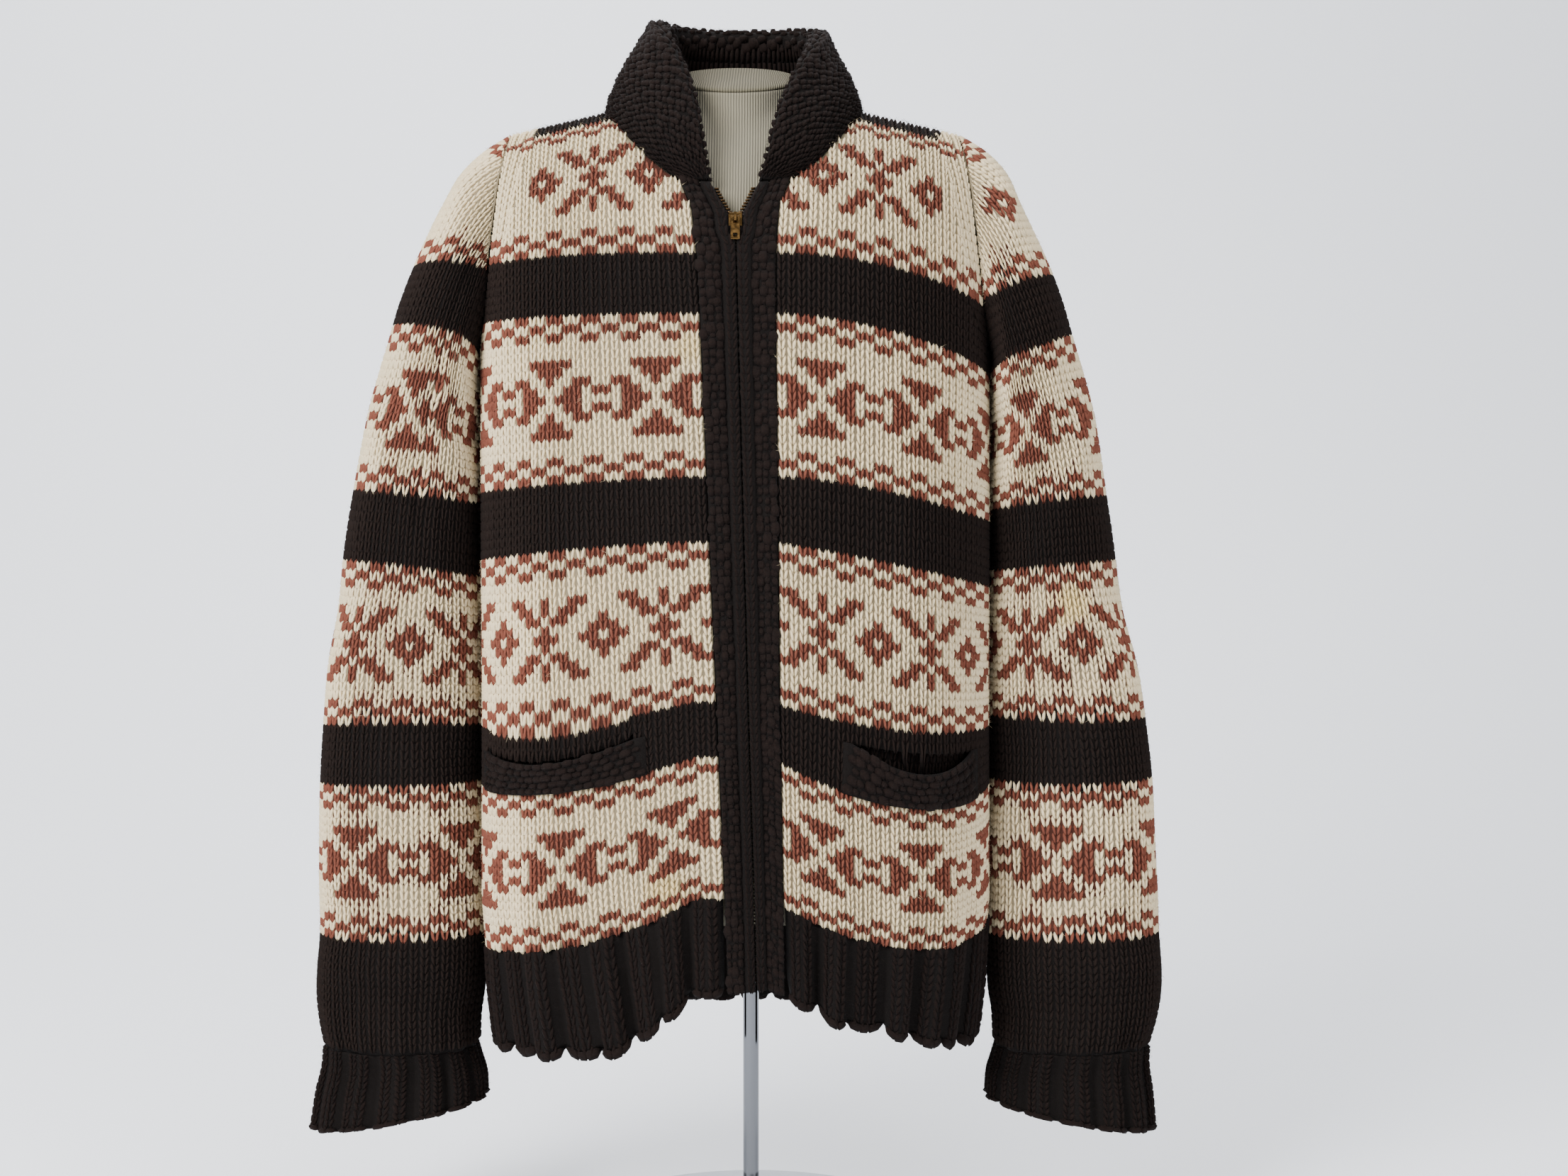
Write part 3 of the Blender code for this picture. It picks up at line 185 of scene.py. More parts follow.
# Run of one place past the armhole, and of one row of the cap.
PAST_ARMHOLE = 0.055
CAP_ROW_RUN = 0.0060
# The levels whose ends make the edge of the armhole.
ARMHOLE_ROWS = np.arange(58.0, TOP_ROW + 0.25, 0.5)
# Free edge of the collar: x left and right of the body's centre, y, z left, z right.
COLLAR_EDGE = (
    (0.0165, 0.0185, -0.088, 0.764, 0.764), (0.02, 0.024, -0.085, 0.788, 0.786),
    (0.0235, 0.029, -0.074, 0.818, 0.814), (0.032, 0.04, -0.052, 0.849, 0.844),
    (0.043, 0.049, -0.03, 0.877, 0.865), (0.0525, 0.0565, -0.002, 0.8955, 0.885),
    (0.051, 0.056, 0.03, 0.8985, 0.894), (0.035, 0.041, 0.055, 0.901, 0.9),
    (0, 0, 0.064, 0.902, 0.902),
)
# Row of the fronts where the collar's foot starts, and how far off the opening its tip is there.
COLLAR_ROW = 86.5
COLLAR_TIP = 0.0172
# Places from a band to the nape, and how far the collar bulges there.
COLLAR_PLACES = (0.00, 0.10, 0.21, 0.34, 0.46, 0.58, 0.70, 0.84, 1.00)
COLLAR_BULGE = (0.000, 0.004, 0.007, 0.010, 0.012, 0.012, 0.010, 0.006, 0.004)
# Such places, and how far the rim swells outward there.
RIM_SWELL = ((0, 0.25, 0.45, 0.80, 1.0), (0, 0.004, 0.010, 0.009, 0.003))
# Row, and offset from the opening's middle line of a band's edge, then of the zip's chain.
BAND_EDGE = ((-11, 0.0005), (79.3, 0.0005), (80.5, 0.0056), (82.8, 0.006), (84.2, 0.011), (86.3, 0.017))
CHAIN_EDGE = (
    (-11, 0.0003), (81.7, 0.0003), (82.2, 0.0012), (82.8, 0.0024), (84.2, 0.0072), (86.3, 0.013),
)
CHAIN_DEPTH = 0.0037
# Offsets of a tape's columns from the chain's middle, and its teeth's pitch and size.
TAPE_OFFSETS = (0.0022, 0.0060, 0.0100)
TOOTH_PITCH = 0.0025
TOOTH = (0.0030, 0.0013, 0.0021)
POCKET_FROM = 3
POCKET_TO = {-1: 10, 1: 9}
PANEL_COLUMNS = 12
LIP_ROW = {-1: 23.3, 1: 24.0}
LIP_SAG_ROWS = {-1: 1.3, 1: 2.0}
MOUTH_ROWS = {-1: 0.35, 1: 1.95}
SLIT_ROW = 24
WELT_FOOT_ROW = 19
WELT_FOOT = 18.5
WELT_PAST_MOUTH = 0.4
WELT_RIDGES = 5
WELT_STITCH = 0.0066
WELT_RIDGE = 0.0054
WELT_THICK = 0.0022
LINING_DEPTH = 0.0090
FORM_SECTIONS = (
    (0.25, 0.138, 0.076, 0.082), (0.262, 0.15, 0.082, 0.088), (0.32, 0.156, 0.086, 0.092),
    (0.42, 0.138, 0.08, 0.08), (0.5, 0.146, 0.088, 0.085), (0.58, 0.164, 0.098, 0.095),
    (0.64, 0.174, 0.101, 0.102),
)
# Rings of the form's shoulders, as shares of its highest section.
SHOULDER_SHRINKS = (0.985, 0.965, 0.94, 0.90, 0.86, 0.81, 0.76, 0.71, 0.66, 0.61, 0.56, 0.51, 0.47)
FORM_ANGLES = 2 * math.pi * np.arange(96) / 96
FORM_BEND_Z = 0.655
FORM_SHOULDER_X = 0.138
FORM_CLEAR = 0.0010
NECK_HALF_WIDTH = 0.0465
NECK_HALF_DEPTH = 0.0460
NECK_Y = 0.002
NECK_FOOT_Z = 0.822
NECK_TOP_Z = 0.8540
NECK_TOP_TILT = 0.345
# Heights between which the jersey bridges the corner of shoulders and neck.
NECK_SOFT = (0.770, 0.836)
# Painted shade: the neck cap's jersey is darkened to this share of its colour, as less light reaches its
# top. Below it, the cap's gloss.
CAP_PAINTED_SHADE = 0.70
CAP_GLOSS = 0.1
# Painted shade: the ground under the stitches takes the same wools darkened by this factor, for the shade
# in the gaps between stitches.
GROUND_PAINTED_SHADE = 0.28
# Painted shade of the ribs' wool against that of the plain bands, in red, green and blue: it darkens them
# for the shade in their deep hollows, and tints them warmer.
RIB_PAINTED_SHADE = (0.63, 0.48, 0.41)
# Rise and share of the width of the neck cap, from its foot to near its middle.
CAP_SECTION = ((0.0002, 0.992), (0.0010, 1.000), (0.0020, 0.990), (0.0030, 0.940), (0.0033, 0.500))

# ---- the knitting

FRONT_STITCHES = 31
BACK_NECK_STITCHES = 13
BACK_SHOULDER_STITCHES = 22
SLEEVE_STITCHES = 46
EDGE_STITCHES = 3
STITCH = 0.00695
RIB_STITCH = 0.0056
BAND_STITCH = 0.0062
BAND_COLUMNS = 4
# Share of a band's width and rise of each line of points: a round knit column, a purl valley, the moss.
BAND_SHARES = np.array([0.0, 0.31, 0.37, 0.58, 0.79, 1.0])
BAND_RISES = np.array([0.0004, 0.0010, -0.0018, 0.0004, 0.0006, 0.0002])
# Half sizes and rise of a band's low and high knobs.
BAND_KNOBS = ((0.50, 0.50, 0.70), (0.62, 0.70, 1.35))
ROW = 0.00585
# Ribs of each front, of half the back and of a cuff, each of two knit and two purl stitches.
FRONT_RIBS = {-1: 9, 1: 8}
BACK_RIBS = 9
CUFF_RIBS = 14
RIB_RISE = 0.0070
RIB_KNIT_SHARE = 0.78
# Columns of points across one rib.
RIB_FINE = 8
SCALLOP_DROP = 0.0032
HEM_ROLL = 0.0016
MOSS_PITCH = 0.0068
MOSS_RISE = 0.0050
COLLAR_RIB_PITCH = 0.0042
FIBRE_ROOT = 0.0008
FIBRE_RISE = 0.0026
FIBRE_LEAN = 1.3
FIBRE_RADIUS = 0.00009
# A leg's swelling, its lean and its distance from the stitch's middle, and that middle.
LEG_SWELL = 1.15
LEG_LEAN = 0.25
LEG_APART = 0.09
LEG_PLACE = (0.5, 0.47, -0.0011)
BUMP_SINK = 0.0004
# Share of a panel's area that its armhole and neck leave, and of a sleeve's that its cap leaves.
PANEL_SHARE = 0.93
SLEEVE_SHARE = 0.9
# Thickness of each kind of ground, and its depth under the stitches.
PANEL_GROUND = (0.0024, 0.0016)
RIB_GROUND = (0.0022, 0.0014)
BAND_GROUND = (0.0018, 0.0006)
WELT_GROUND = (0.0020, 0.0006)
LINING_GROUND = (0.0016, 0.0014)
TAPE_GROUND = (0.0006, CHAIN_DEPTH + 0.0003)
COLLAR_GROUND_DEPTH = 0.0010
# Number of a yarn, and of its ground in painted shade less GROUND.
CREAM, RUST, BROWN, GROUND = 0, 1, 2, 3
# The yoke's figures stop at this column, short of the armhole.
YOKE_FIGURES_TO = 18
# Row where each band of a panel starts, what the band is, and its shift in stitches.
BODY_BANDS = (
    (0, "hourglass", 0), (19, "plain", 0), (26, "star", 0), (45, "plain", 0),
    (52, "hourglass", 0), (71, "plain", 0), (78, "star", 6), (97, "plain", 0),
)
# Shifts of a sleeve's motifs, which start differently on each side.
SLEEVE_SHIFTS = {-1: (0, 0, 9), 1: (6, 9, 6)}
SLEEVE_BANDS = {
    side: (
        (0, "plain", 0), (14, "hourglass", low), (33, "plain", 0), (40, "star", middle),
        (59, "plain", 0), (66, "hourglass", high), (85, "plain", 0), (92, "star", 6),
    )
    for side, (low, middle, high) in SLEEVE_SHIFTS.items()
}
CAP_ROW = 95
CAP_FROM_ROW = 84
CAP_TOP_BORDER = 108
# Columns and rows of the one figure on the right sleeve's cap.
CAP_FIGURE = {-1: (), 1: range(14, 19)}
CAP_FIGURE_ROWS = (99, 104)
# A tuck runs up the left sleeve here, and takes two stitches out of sight.
TUCK_COLUMN = 10.5
TUCK_ROWS = (58.0, 97.0)
TUCK_DEPTH = 0.0032
# Upper rows of the motifs down to their middle one, which mirrors them. X is rust on cream.
MOTIFS = {
    "hourglass": ("..XXXXX....", "...XXX.....", "XX..X..XX..", ".XX...XX.XX", ".XXX.XXX..."),
    "star": ("XX..X..XX...", ".XX.X.XX....", "..XX.XX...X.", "....X....XXX", "X..XXX..XX.X"),
}


def linear(code):
    """Linear red, green and blue of an sRGB hex colour."""
    parts = [int(code[i : i + 2], 16) / 255 for i in (1, 3, 5)]
    return tuple(p / 12.92 if p <= 0.04045 else ((p + 0.055) / 1.055) ** 2.4 for p in parts)


def colour(name, description, code):
    more = {"subtype": "COLOR", "size": 3, "min": 0.0, "max": 1.0, "default": linear(code)}
    return FloatVectorProperty(name=name, description=description, **more)


class CardiganYarns(bpy.types.PropertyGroup):
    """Colours of the yarns and of the other finishes."""

    cream: colour("Cream wool", "Undyed ground of the patterned bands", "#D1BF9C")
    rust: colour("Rust wool", "Figures and borders of the bands", "#683A2D")
    brown: colour("Brown wool", "Plain bands, ribs, collar and front bands", "#150C08")
    # The jersey's colour is its own beige darkened with painted shade that the collar casts on the neck.
    jersey: colour("Jersey", "Ribbed cover of the dress form", "#756F5C")
    brass: colour("Brass", "Zip teeth, slider and pull", "#5E4728")


def number(name, description, default, low, high, **more):
    return FloatProperty(name=name, description=description, default=default, min=low, max=high, **more)


class CardiganStitch(bpy.types.PropertyGroup):
    """Sizes of one stitch."""

    leg_width: number("Leg width", "Width of one leg of a stitch, in stitches", 0.45, 0.2, 0.8)
    leg_length: number("Leg length", "Length of one leg of a stitch, in rows", 1.50, 0.8, 2.0)
    leg_thickness: number("Leg thickness", "Half the yarn's width", 0.0020, 0.0005, 0.003, unit="LENGTH")
    uneven: number("Unevenness", "How much hand knitting differs from stitch to stitch", 0.06, 0.0, 0.3)
    bump_rise: number("Garter rise", "Half a bump's thickness", 0.0017, 0.0005, 0.003, unit="LENGTH")


class CardiganStage(bpy.types.PropertyGroup):
    """The plain room, its lights and its camera."""

    wall: colour("Room", "Floor and wall behind", "#EBEDF1")
    lens: number("Lens", "Focal length of the camera", 52.57, 20.0, 200.0, unit="CAMERA")
    key_power: number("Key light", "Power of the large soft light", 175.0, 0.0, 500.0, unit="POWER")
    fill_power: number("Fill light", "Power of the weak light", 34.0, 0.0, 500.0, unit="POWER")


# ---- the garment's surfaces


def spow(value, power):
    """A power of the size of a value, with the value's sign."""
    return np.sign(value) * np.abs(value) ** power


def lookup(table, key, column=1):
    """A column of a table at a key between those of its rows."""
    table = np.array(table)
    return np.interp(key, table[:, 0], table[:, column])


def smooth(value):
    """0 below 0, 1 above 1, and an even rise between them."""
    value = np.clip(value, 0.0, 1.0)
    return value * value * (3.0 - 2.0 * value)


def through(values, at):
    """A cubic through the four values at SHARES."""
    total = 0.0
    for i, value in enumerate(values):
        term = value
        for j, share in enumerate(SHARES):
            if j != i:
                term = term * (at - share) / (SHARES[i] - share)
        total = total + term
    return total


def ridge_z(x):
    """Height of the shoulder line over a distance from the body's centre."""
    past = np.maximum(0.0, np.abs(x) - RIDGE_NECK_X) / (SHOULDER_X - RIDGE_NECK_X)
    return RIDGE_NECK_Z - RIDGE_FALL * past


def depth_left(z, top):
    """Share of a section's depth left at height z, as the body rolls over to its shoulders."""
    rise = np.clip((z - BEND_Z) / (top - BEND_Z), 0.0, 1.0)
    return (1.0 - rise**BEND_POWER) ** (1.0 / BEND_POWER)


def run_lengths(points):
    """Distance of each point along a line of points, or along each of several lines."""
    steps = np.linalg.norm(np.diff(points, axis=-2), axis=-1)
    return np.concatenate([np.zeros((*steps.shape[:-1], 1)), np.cumsum(steps, -1)], -1)


def unit(ways):
    return ways / np.maximum(np.linalg.norm(ways, axis=-1, keepdims=True), 1e-12)


def along_line(goal, key, points):
    """Points between those of a line, where its key reaches the goal."""
    return np.stack([np.interp(goal, key, column) for column in points.T], -1)


ARC_ANGLES = np.linspace(0.0, math.pi / 2, 91)
ARC_X = CHEST_HALF_WIDTH * spow(np.sin(ARC_ANGLES), 2 / SECTION_POWER)
ARC_Y = CHEST_DEPTH * spow(np.maximum(np.cos(ARC_ANGLES), 0.0), 2 / SECTION_POWER)
ARC_RUN = run_lengths(np.stack([ARC_X, ARC_Y], -1))


def share_of(angle):
    """Share of a panel's width at an angle round the section."""
    return np.maximum(0.0, (np.interp(angle, ARC_ANGLES, ARC_RUN) - BAND_ARC) / (ARC_RUN[-1] - BAND_ARC))


def yoke_rises():
    """Share of the climb from the yoke's first row to the shoulder for each share of its rows."""
    low, top, depth = 0.7195, ridge_z(0.12), 0.092
    part = np.sin(np.linspace(0.0, math.pi / 2, 81))
    z = low + (top - low) * part
    run = run_lengths(np.stack([depth * depth_left(z, top), z], -1))
    return run / run[-1], part


RISES = yoke_rises()


def row_height(row, share, side, face):
    """Height of a row at a share of a panel's width, below the yoke."""
    columns = [lookup(LEFT_ROWS if side < 0 else RIGHT_ROWS, row, 1 + i) for i in range(4)]
    if face < 0:
        place, width, depth = HEM_SAG[side]
        sag = depth * np.exp(-(((share - place) / width) ** 2)) * np.clip(-row / RIB_ROWS, 0.0, 1.0)
        return through(columns, share) - sag
    middle = (lookup(LEFT_ROWS, row, 4) + lookup(RIGHT_ROWS, row, 4)) / 2 + 0.004
    return middle + (columns[3] - middle) * share**2


def body_point(row, angle, side, face):
    """Points of the body's outer surface. side is -1 left or 1 right, face is -1 front or 1 back."""
    row, angle = np.broadcast_arrays(np.asarray(row, float), np.asarray(angle, float))
    z = row_height(np.minimum(row, YOKE_ROW), share_of(angle), side, face)
    half = lookup(BODY_SECTIONS, z, 1)
    x = half * spow(np.sin(angle), 2 / SECTION_POWER)
    top = ridge_z(x)
    z = z + (top - z) * np.interp((row - YOKE_ROW) / (TOP_ROW - YOKE_ROW), *RISES)
    depth = lookup(BODY_SECTIONS, z, 2 if face < 0 else 3)
    y = depth * spow(np.maximum(np.cos(angle), 0.0), 2 / SECTION_POWER) * depth_left(z, top)
    return np.stack([CENTRE_X + side * x, face * (y + GAP), z], -1)


def angle_at(x):
    """Angle of a point this far from the body's centre."""
    return np.arcsin(np.clip(spow(x / CHEST_HALF_WIDTH, SECTION_POWER / 2), -1.0, 1.0))


def across_at(angle):
    """Distance from the body's centre at an angle."""
    return CHEST_HALF_WIDTH * spow(np.sin(angle), 2 / SECTION_POWER)


def front_angle(row, offset, side):
    """Angle of a point this far from the front opening's middle line."""
    share = (row + RIB_ROWS) / (NECK_ROW + RIB_ROWS)
    opening = OPENING_X_HEM + (OPENING_X_TOP - OPENING_X_HEM) * share
    return angle_at(side * (opening + side * offset - CENTRE_X))


def front_start(row, side):
    """Angle where a front's panel starts, beside its band or at the neck."""
    return front_angle(row, lookup(FRONT_EDGE, row) + GAP, side)


def armhole_angle(row, side, face):
    """Angle where a row of the body ends: at the side seam, or at the armhole above it."""
    row = np.asarray(row, float)
    angle = np.full(row.shape, float(angle_at(ARMHOLE[-1][1])))
    for _ in range(12):
        angle = (angle + angle_at(lookup(ARMHOLE, body_point(row, angle, side, face)[..., 2]))) / 2
    low = body_point(row, math.pi / 2, side, face)[..., 2] <= ARMHOLE[0][0]
    return np.where(low, math.pi / 2, angle)


def neck_angle(side):
    """Angle where the neck's edge meets the shoulder."""
    return float(front_start(TOP_ROW, side))


def even_angles(row, start, end, side, face, count):
    """Angles of evenly spaced points along one row of the body."""
    angles = np.linspace(start, end, 97)
    run = run_lengths(body_point(row, angles, side, face))
    return np.interp(np.linspace(0.0, run[-1], count + 1), run, angles)


def wave_at(row, share, face):
    """Long soft folds down a panel, and the waves of its hem, which fade out above the rib."""
    fade = smooth((YOKE_ROW - row) / 30.0) * np.sin(math.pi * np.minimum(share, 1.0))
    chest = 0.0022 * fade * np.sin(2 * math.pi * (2.2 * share + 0.004 * row))
    low = 1.0 - smooth((row + RIB_ROWS) / (RIB_ROWS + 14.0))
    swell = np.sin(math.pi * (0.15 + share) * 0.87)
    turns = 5.0 if face < 0 else 6.0
    hem = 0.0034 * low * swell * np.sin(2 * math.pi * turns * share + 0.9)
    hem = hem * smooth(share * 8) * smooth((1 - share) * 8)
    return np.where(row > YOKE_ROW, 0.0, hem + chest)


def outward(points, wrap=False):
    """Unit normals of an array of points in rows and columns, away from its middle."""
    wide = np.concatenate([points[:, -1:], points, points[:, :1]], 1) if wrap else points
    way = unit(np.cross(np.gradient(wide, axis=1), np.gradient(wide, axis=0)))
    return way[:, 1:-1] if wrap else way


class Knit:
    """A knitted surface: a point and a normal at each stitch and row, and between them."""

    def __init__(self, points, first_row=0.0, row_step=1.0, wrap=False, facing=None, folds=None):
        self.first_row, self.row_step, self.wrap = first_row, row_step, wrap
        self.warp = None
        self.points = points
        self.normals = outward(points, wrap)
        middle = tuple(n // 2 for n in points.shape[:2])
        if facing is None:
            facing = points[middle[0]].mean(0) if wrap else np.array([CENTRE_X, 0.0, points[middle][2]])
        self.turn = 1.0 if self.normals[middle].dot(points[middle] - facing) > 0 else -1.0
        self.normals = self.normals * self.turn
        if folds is not None:
            self.points = points + self.normals * folds[..., None]
            self.normals = outward(self.points, wrap) * self.turn

    @property
    def skin(self):
        return self.points, self.normals

    def keep_side(self, face):
        """Keeps the surface on its own side of the side seams."""
        self.points[..., 1] = face * np.maximum(face * self.points[..., 1], GAP)
        return self

    def at(self, column, row, lift):
        rows, columns = self.points.shape[:2]
        if self.warp:
            row = self.warp(column, row)
        v = (row - self.first_row) / self.row_step
        i = np.clip(np.floor(v).astype(int), 0, rows - 2)
        if self.wrap:
            j = np.floor(column).astype(int)
            t, k = column - j, (j + 1) % columns
            j = j % columns
        else:
            j = np.clip(np.floor(column).astype(int), 0, columns - 2)
            t, k = column - j, j + 1
        s, t = (v - i)[..., None], t[..., None]
        found = []
        for grid in (self.points, self.normals):
            low = grid[i, j] * (1 - t) + grid[i, k] * t
            high = grid[i + 1, j] * (1 - t) + grid[i + 1, k] * t
            found.append(low * (1 - s) + high * s)
        return found[0] + found[1] * lift[..., None]


def straight_row(row, side, face):
    """Angles of a row's stitches, even over a front, or under half the back's neck and its shoulder."""
    outer = float(armhole_angle(row, side, face))
    if face < 0:
        return even_angles(row, front_start(row, side), outer, side, face, FRONT_STITCHES)
    neck = neck_angle(side)
    under = even_angles(row, 0.0, neck, side, face, BACK_NECK_STITCHES)
    past = even_angles(row, neck, outer, side, face, BACK_SHOULDER_STITCHES)
    return np.concatenate([under, past[1:]])


def even_grid(rows, side, face, columns):
    """Angles of evenly spaced columns from a panel's inner edge to its outer edge, row by row."""
    inner = [front_start(row, side) if face < 0 else 0.0 for row in rows]
    outer = [float(armhole_angle(row, side, face)) for row in rows]
    return np.array([even_angles(*line, side, face, columns) for line in zip(rows, inner, outer)])


def panel_angles(side, face):
    """Angles of a panel's stitch columns: evenly spread to the underarm, then straight up."""
    grid = []
    for row in PANEL_ROWS:
        if row <= EDGE_ROW:
            low = straight_row(row, side, face)
        line = low
        if row > EDGE_ROW and face < 0:
            start, hold = front_start(min(row, NECK_ROW), side), low[HELD_STITCH]
            share = (low - low[0]) / (hold - low[0])
            line = np.where(low < hold, start + (hold - start) * share, low)
        grid.append(line)
    return np.array(grid)


def panel_knit(levels, angles, side, face):
    """A panel's surface at these levels and angles, with its folds."""
    shares = np.linspace(0.0, 1.0, FRONT_STITCHES + 1)
    if face > 0:
        neck = np.linspace(0.0, 0.5, BACK_NECK_STITCHES + 1)
        shares = np.concatenate([neck, np.linspace(0.5, 1.0, BACK_SHOULDER_STITCHES + 1)[1:]])
    folds = wave_at(PANEL_ROWS[:, None], np.broadcast_to(shares, angles.shape), face)
    return Knit(body_point(levels, angles, side, face), folds=folds).keep_side(face)


def station(table, place, side):
    """Outer point, inner point, half depth and middle y of a sleeve section, between its stations."""
    table = np.array(table)
    last = len(table) - 1
    i = np.clip(np.floor(place).astype(int), 0, last - 1)
    t = (place - i)[..., None]
    a, b, c, d = (table[np.clip(k, 0, last)] for k in (i - 1, i, i + 1, i + 2))
    values = 2 * b + (c - a) * t + (2 * a - 5 * b + 4 * c - d) * t**2 + (3 * b - a - 3 * c + d) * t**3
    values = np.moveaxis(values / 2, -1, 0)
    return values[0 if side < 0 else 1], *values[2:]


def armhole_edges(side):
    """The front's and the back's edge of one armhole, from the underarm to the shoulder."""
    edges = []
    for face in (-1, 1):
        line = body_point(ARMHOLE_ROWS, armhole_angle(ARMHOLE_ROWS, side, face), side, face)
        first = np.nonzero(line[:, 2] <= ARMHOLE[0][0])[0].max()
        edges.append(line[first:])
    return edges


def tube_point(table, place, degrees, side, edges=None):
    """Points round a sleeve: 0 at its outer edge, 90 at its back, 180 inside, 270 in front."""
    place, degrees = np.broadcast_arrays(np.asarray(place, float), np.asarray(degrees, float))
    outer_x, outer_z, inner_x, inner_z, depth, middle = station(table, place, side)
    angle = np.radians(degrees)
    along = spow(np.cos(angle), 2 / SLEEVE_POWER)
    across = spow(np.sin(angle), 2 / SLEEVE_POWER)
    x = (outer_x + inner_x) / 2 + along * (outer_x - inner_x) / 2
    z = (outer_z + inner_z) / 2 + along * (outer_z - inner_z) / 2
    point = np.stack([CENTRE_X + side * x, middle + across * depth, z], -1)
    if edges is None:
        return point
    starts = []
    for edge in edges:
        goal = edge[0, 2] + (edge[-1, 2] - edge[0, 2]) * (along + 1) / 2
        starts.append(along_line(goal, edge[:, 2], edge))
    start = np.where((across < 0)[..., None], starts[0], starts[1])
    start[..., 0] += side * ARMHOLE_GAP
    start[..., 1] = np.where(np.abs(across) < 0.01, 0.0, start[..., 1])
    near = smooth(place / 1.5)[..., None]
    return start * (1 - near) + point * near


def crease(place, degrees):
    """How far the sleeve's creases draw a point in."""
    total = 0.0
    for centre, turn, half_length, half_width, depth, slant in SLEEVE_CREASES:
        around = (degrees - turn + 180.0) % 360.0 - 180.0
        offset = place - centre - slant * around
        fade = np.exp(-((around / half_length) ** 2))
        total = total - depth * fade * np.exp(-((offset / half_width) ** 2))
        total = total + 0.5 * depth * fade * np.exp(-(((offset - 0.8) / half_width) ** 2))
    return total * smooth(place / 2.0)


def sleeve_places(side, rows, degrees, edges):
    """Place along the sleeve of each row at each angle, negative past the armhole."""
    fine = np.linspace(0.0, SLEEVE_END, 261)
    table = np.array(SLEEVE_ROWS[side])
    found = np.zeros((len(rows), len(degrees)))
    for j, (turn, c) in enumerate(zip(degrees, np.cos(np.radians(degrees)))):
        line = tube_point(SLEEVE, fine, turn, side, edges)
        z, run = line[:, 2], run_lengths(line)
        heights = table[:, 2] + (table[:, 1] - table[:, 3]) / 2 * c
        heights = heights + ((table[:, 1] + table[:, 3]) / 2 - table[:, 2]) * c * c
        goal = np.interp(rows, table[:, 0], heights)
        place = np.interp(-goal, -z, fine)
        past = goal > z[0]
        place[past] = -(goal[past] - z[0]) / PAST_ARMHOLE
        last = np.interp(-heights[-1], -z, run) if heights[-1] <= z[0] else -(heights[-1] - z[0])
        above = rows > table[-1, 0]
        goal_run = last - (rows[above] - table[-1, 0]) * CAP_ROW_RUN
        place[above] = np.where(goal_run >= 0, np.interp(goal_run, run, fine), goal_run / PAST_ARMHOLE)
        found[:, j] = place
    return found


def clear_of_body(points, side):
    """Points of the underarm kept off the body's side."""
    limit = CHEST_HALF_WIDTH + 2 * ARMHOLE_GAP
    reach = side * (points[..., 0] - CENTRE_X)
    held = CENTRE_X + side * np.maximum(reach, limit)
    points[..., 0] = np.where(points[..., 2] < ARMHOLE[1][0], held, points[..., 0])
    return points


def sleeve_degrees(side):
    """Angles of a sleeve's evenly spaced columns, from the underarm round the front."""
    fine = np.linspace(180.0, 540.0, 361)
    run = run_lengths(tube_point(SLEEVE, 8.0, fine, side))
    return np.interp(np.arange(SLEEVE_STITCHES) / SLEEVE_STITCHES * run[-1], run, fine)


def rib_profile(column):
    """Rise of a rib over its own width: a round ridge, and a narrow valley of purl."""
    return RIB_RISE * (np.abs(np.sin(math.pi * column)) ** 0.62 - 0.66)


def sleeve_folds(places, degrees, rows, side):
    """Creases of a sleeve, the folds drawn up into it by its cuff, and the left sleeve's tuck."""
    ribs = rib_profile(degrees / 360.0 * CUFF_RIBS)
    broad = np.abs(np.sin(np.radians(degrees) * CUFF_RIBS / 4 + 0.4)) ** 0.7 - 1.0
    folds = crease(places, degrees % 360.0) + 0.0024 * broad * (1.0 - smooth(rows / 14.0))
    folds = folds + 0.55 * ribs * (1.0 - smooth(rows / 8.0))
    if side < 0:
        turn = sleeve_degrees(side)  # before the cap, where the tuck lies
        centre = np.interp(TUCK_COLUMN, np.arange(SLEEVE_STITCHES), turn)
        pitch = turn[int(TUCK_COLUMN) + 1] - turn[int(TUCK_COLUMN)]
        along = smooth((rows - TUCK_ROWS[0]) / 8.0) * smooth((TUCK_ROWS[1] - rows) / 8.0)
        folds = folds - TUCK_DEPTH * along * np.exp(-(((degrees - centre) / pitch) ** 2))
    return folds


def cap_columns(side, rows, degrees, edges):
    """Angle and place of each stitch. In the cap, columns keep their distance from the outer edge."""
    fine = np.linspace(180.0, 540.0, 181)
    places = sleeve_places(side, rows, fine, edges)
    run = run_lengths(tube_point(SLEEVE, np.clip(places, 0.0, SLEEVE_END), fine, side, edges))
    run -= run[:, [90]]
    goal = np.interp(degrees, fine, run[CAP_FROM_ROW])
    turned, found = [], []
    for row in range(len(rows)):
        own = np.interp(degrees, fine, run[row])
        part = smooth((row - CAP_FROM_ROW) / 6.0)
        at = np.interp(own * (1 - part) + goal * part, run[row], fine)
        turned.append(at)
        found.append(np.interp(at, fine, places[row]))
    return np.array(turned), np.array(found)


def sleeve_knit(side):
    """The sleeve's surface by row and stitch, and the place along the sleeve of each of them."""
    rows = np.arange(0.0, 114.0)
    degrees = sleeve_degrees(side)
    edges = armhole_edges(side)
    degrees, places = cap_columns(side, rows, degrees, edges)
    held = np.clip(places, 0.0, SLEEVE_END)
    points = tube_point(SLEEVE, held, degrees, side, edges)
    folds = sleeve_folds(held, degrees, rows[:, None], side)
    knit = Knit(points, wrap=True, folds=folds)
    # Past the armhole all rows lie on its edge, and lean as the last row below it does.
    for row in range(1, len(rows)):
        past = places[row] < 0.02
        knit.normals[row, past] = knit.normals[row - 1, past]
    knit.points = points + knit.normals * folds[..., None]
    clear_of_body(knit.points, side)
    return knit, places


# ---- the chart


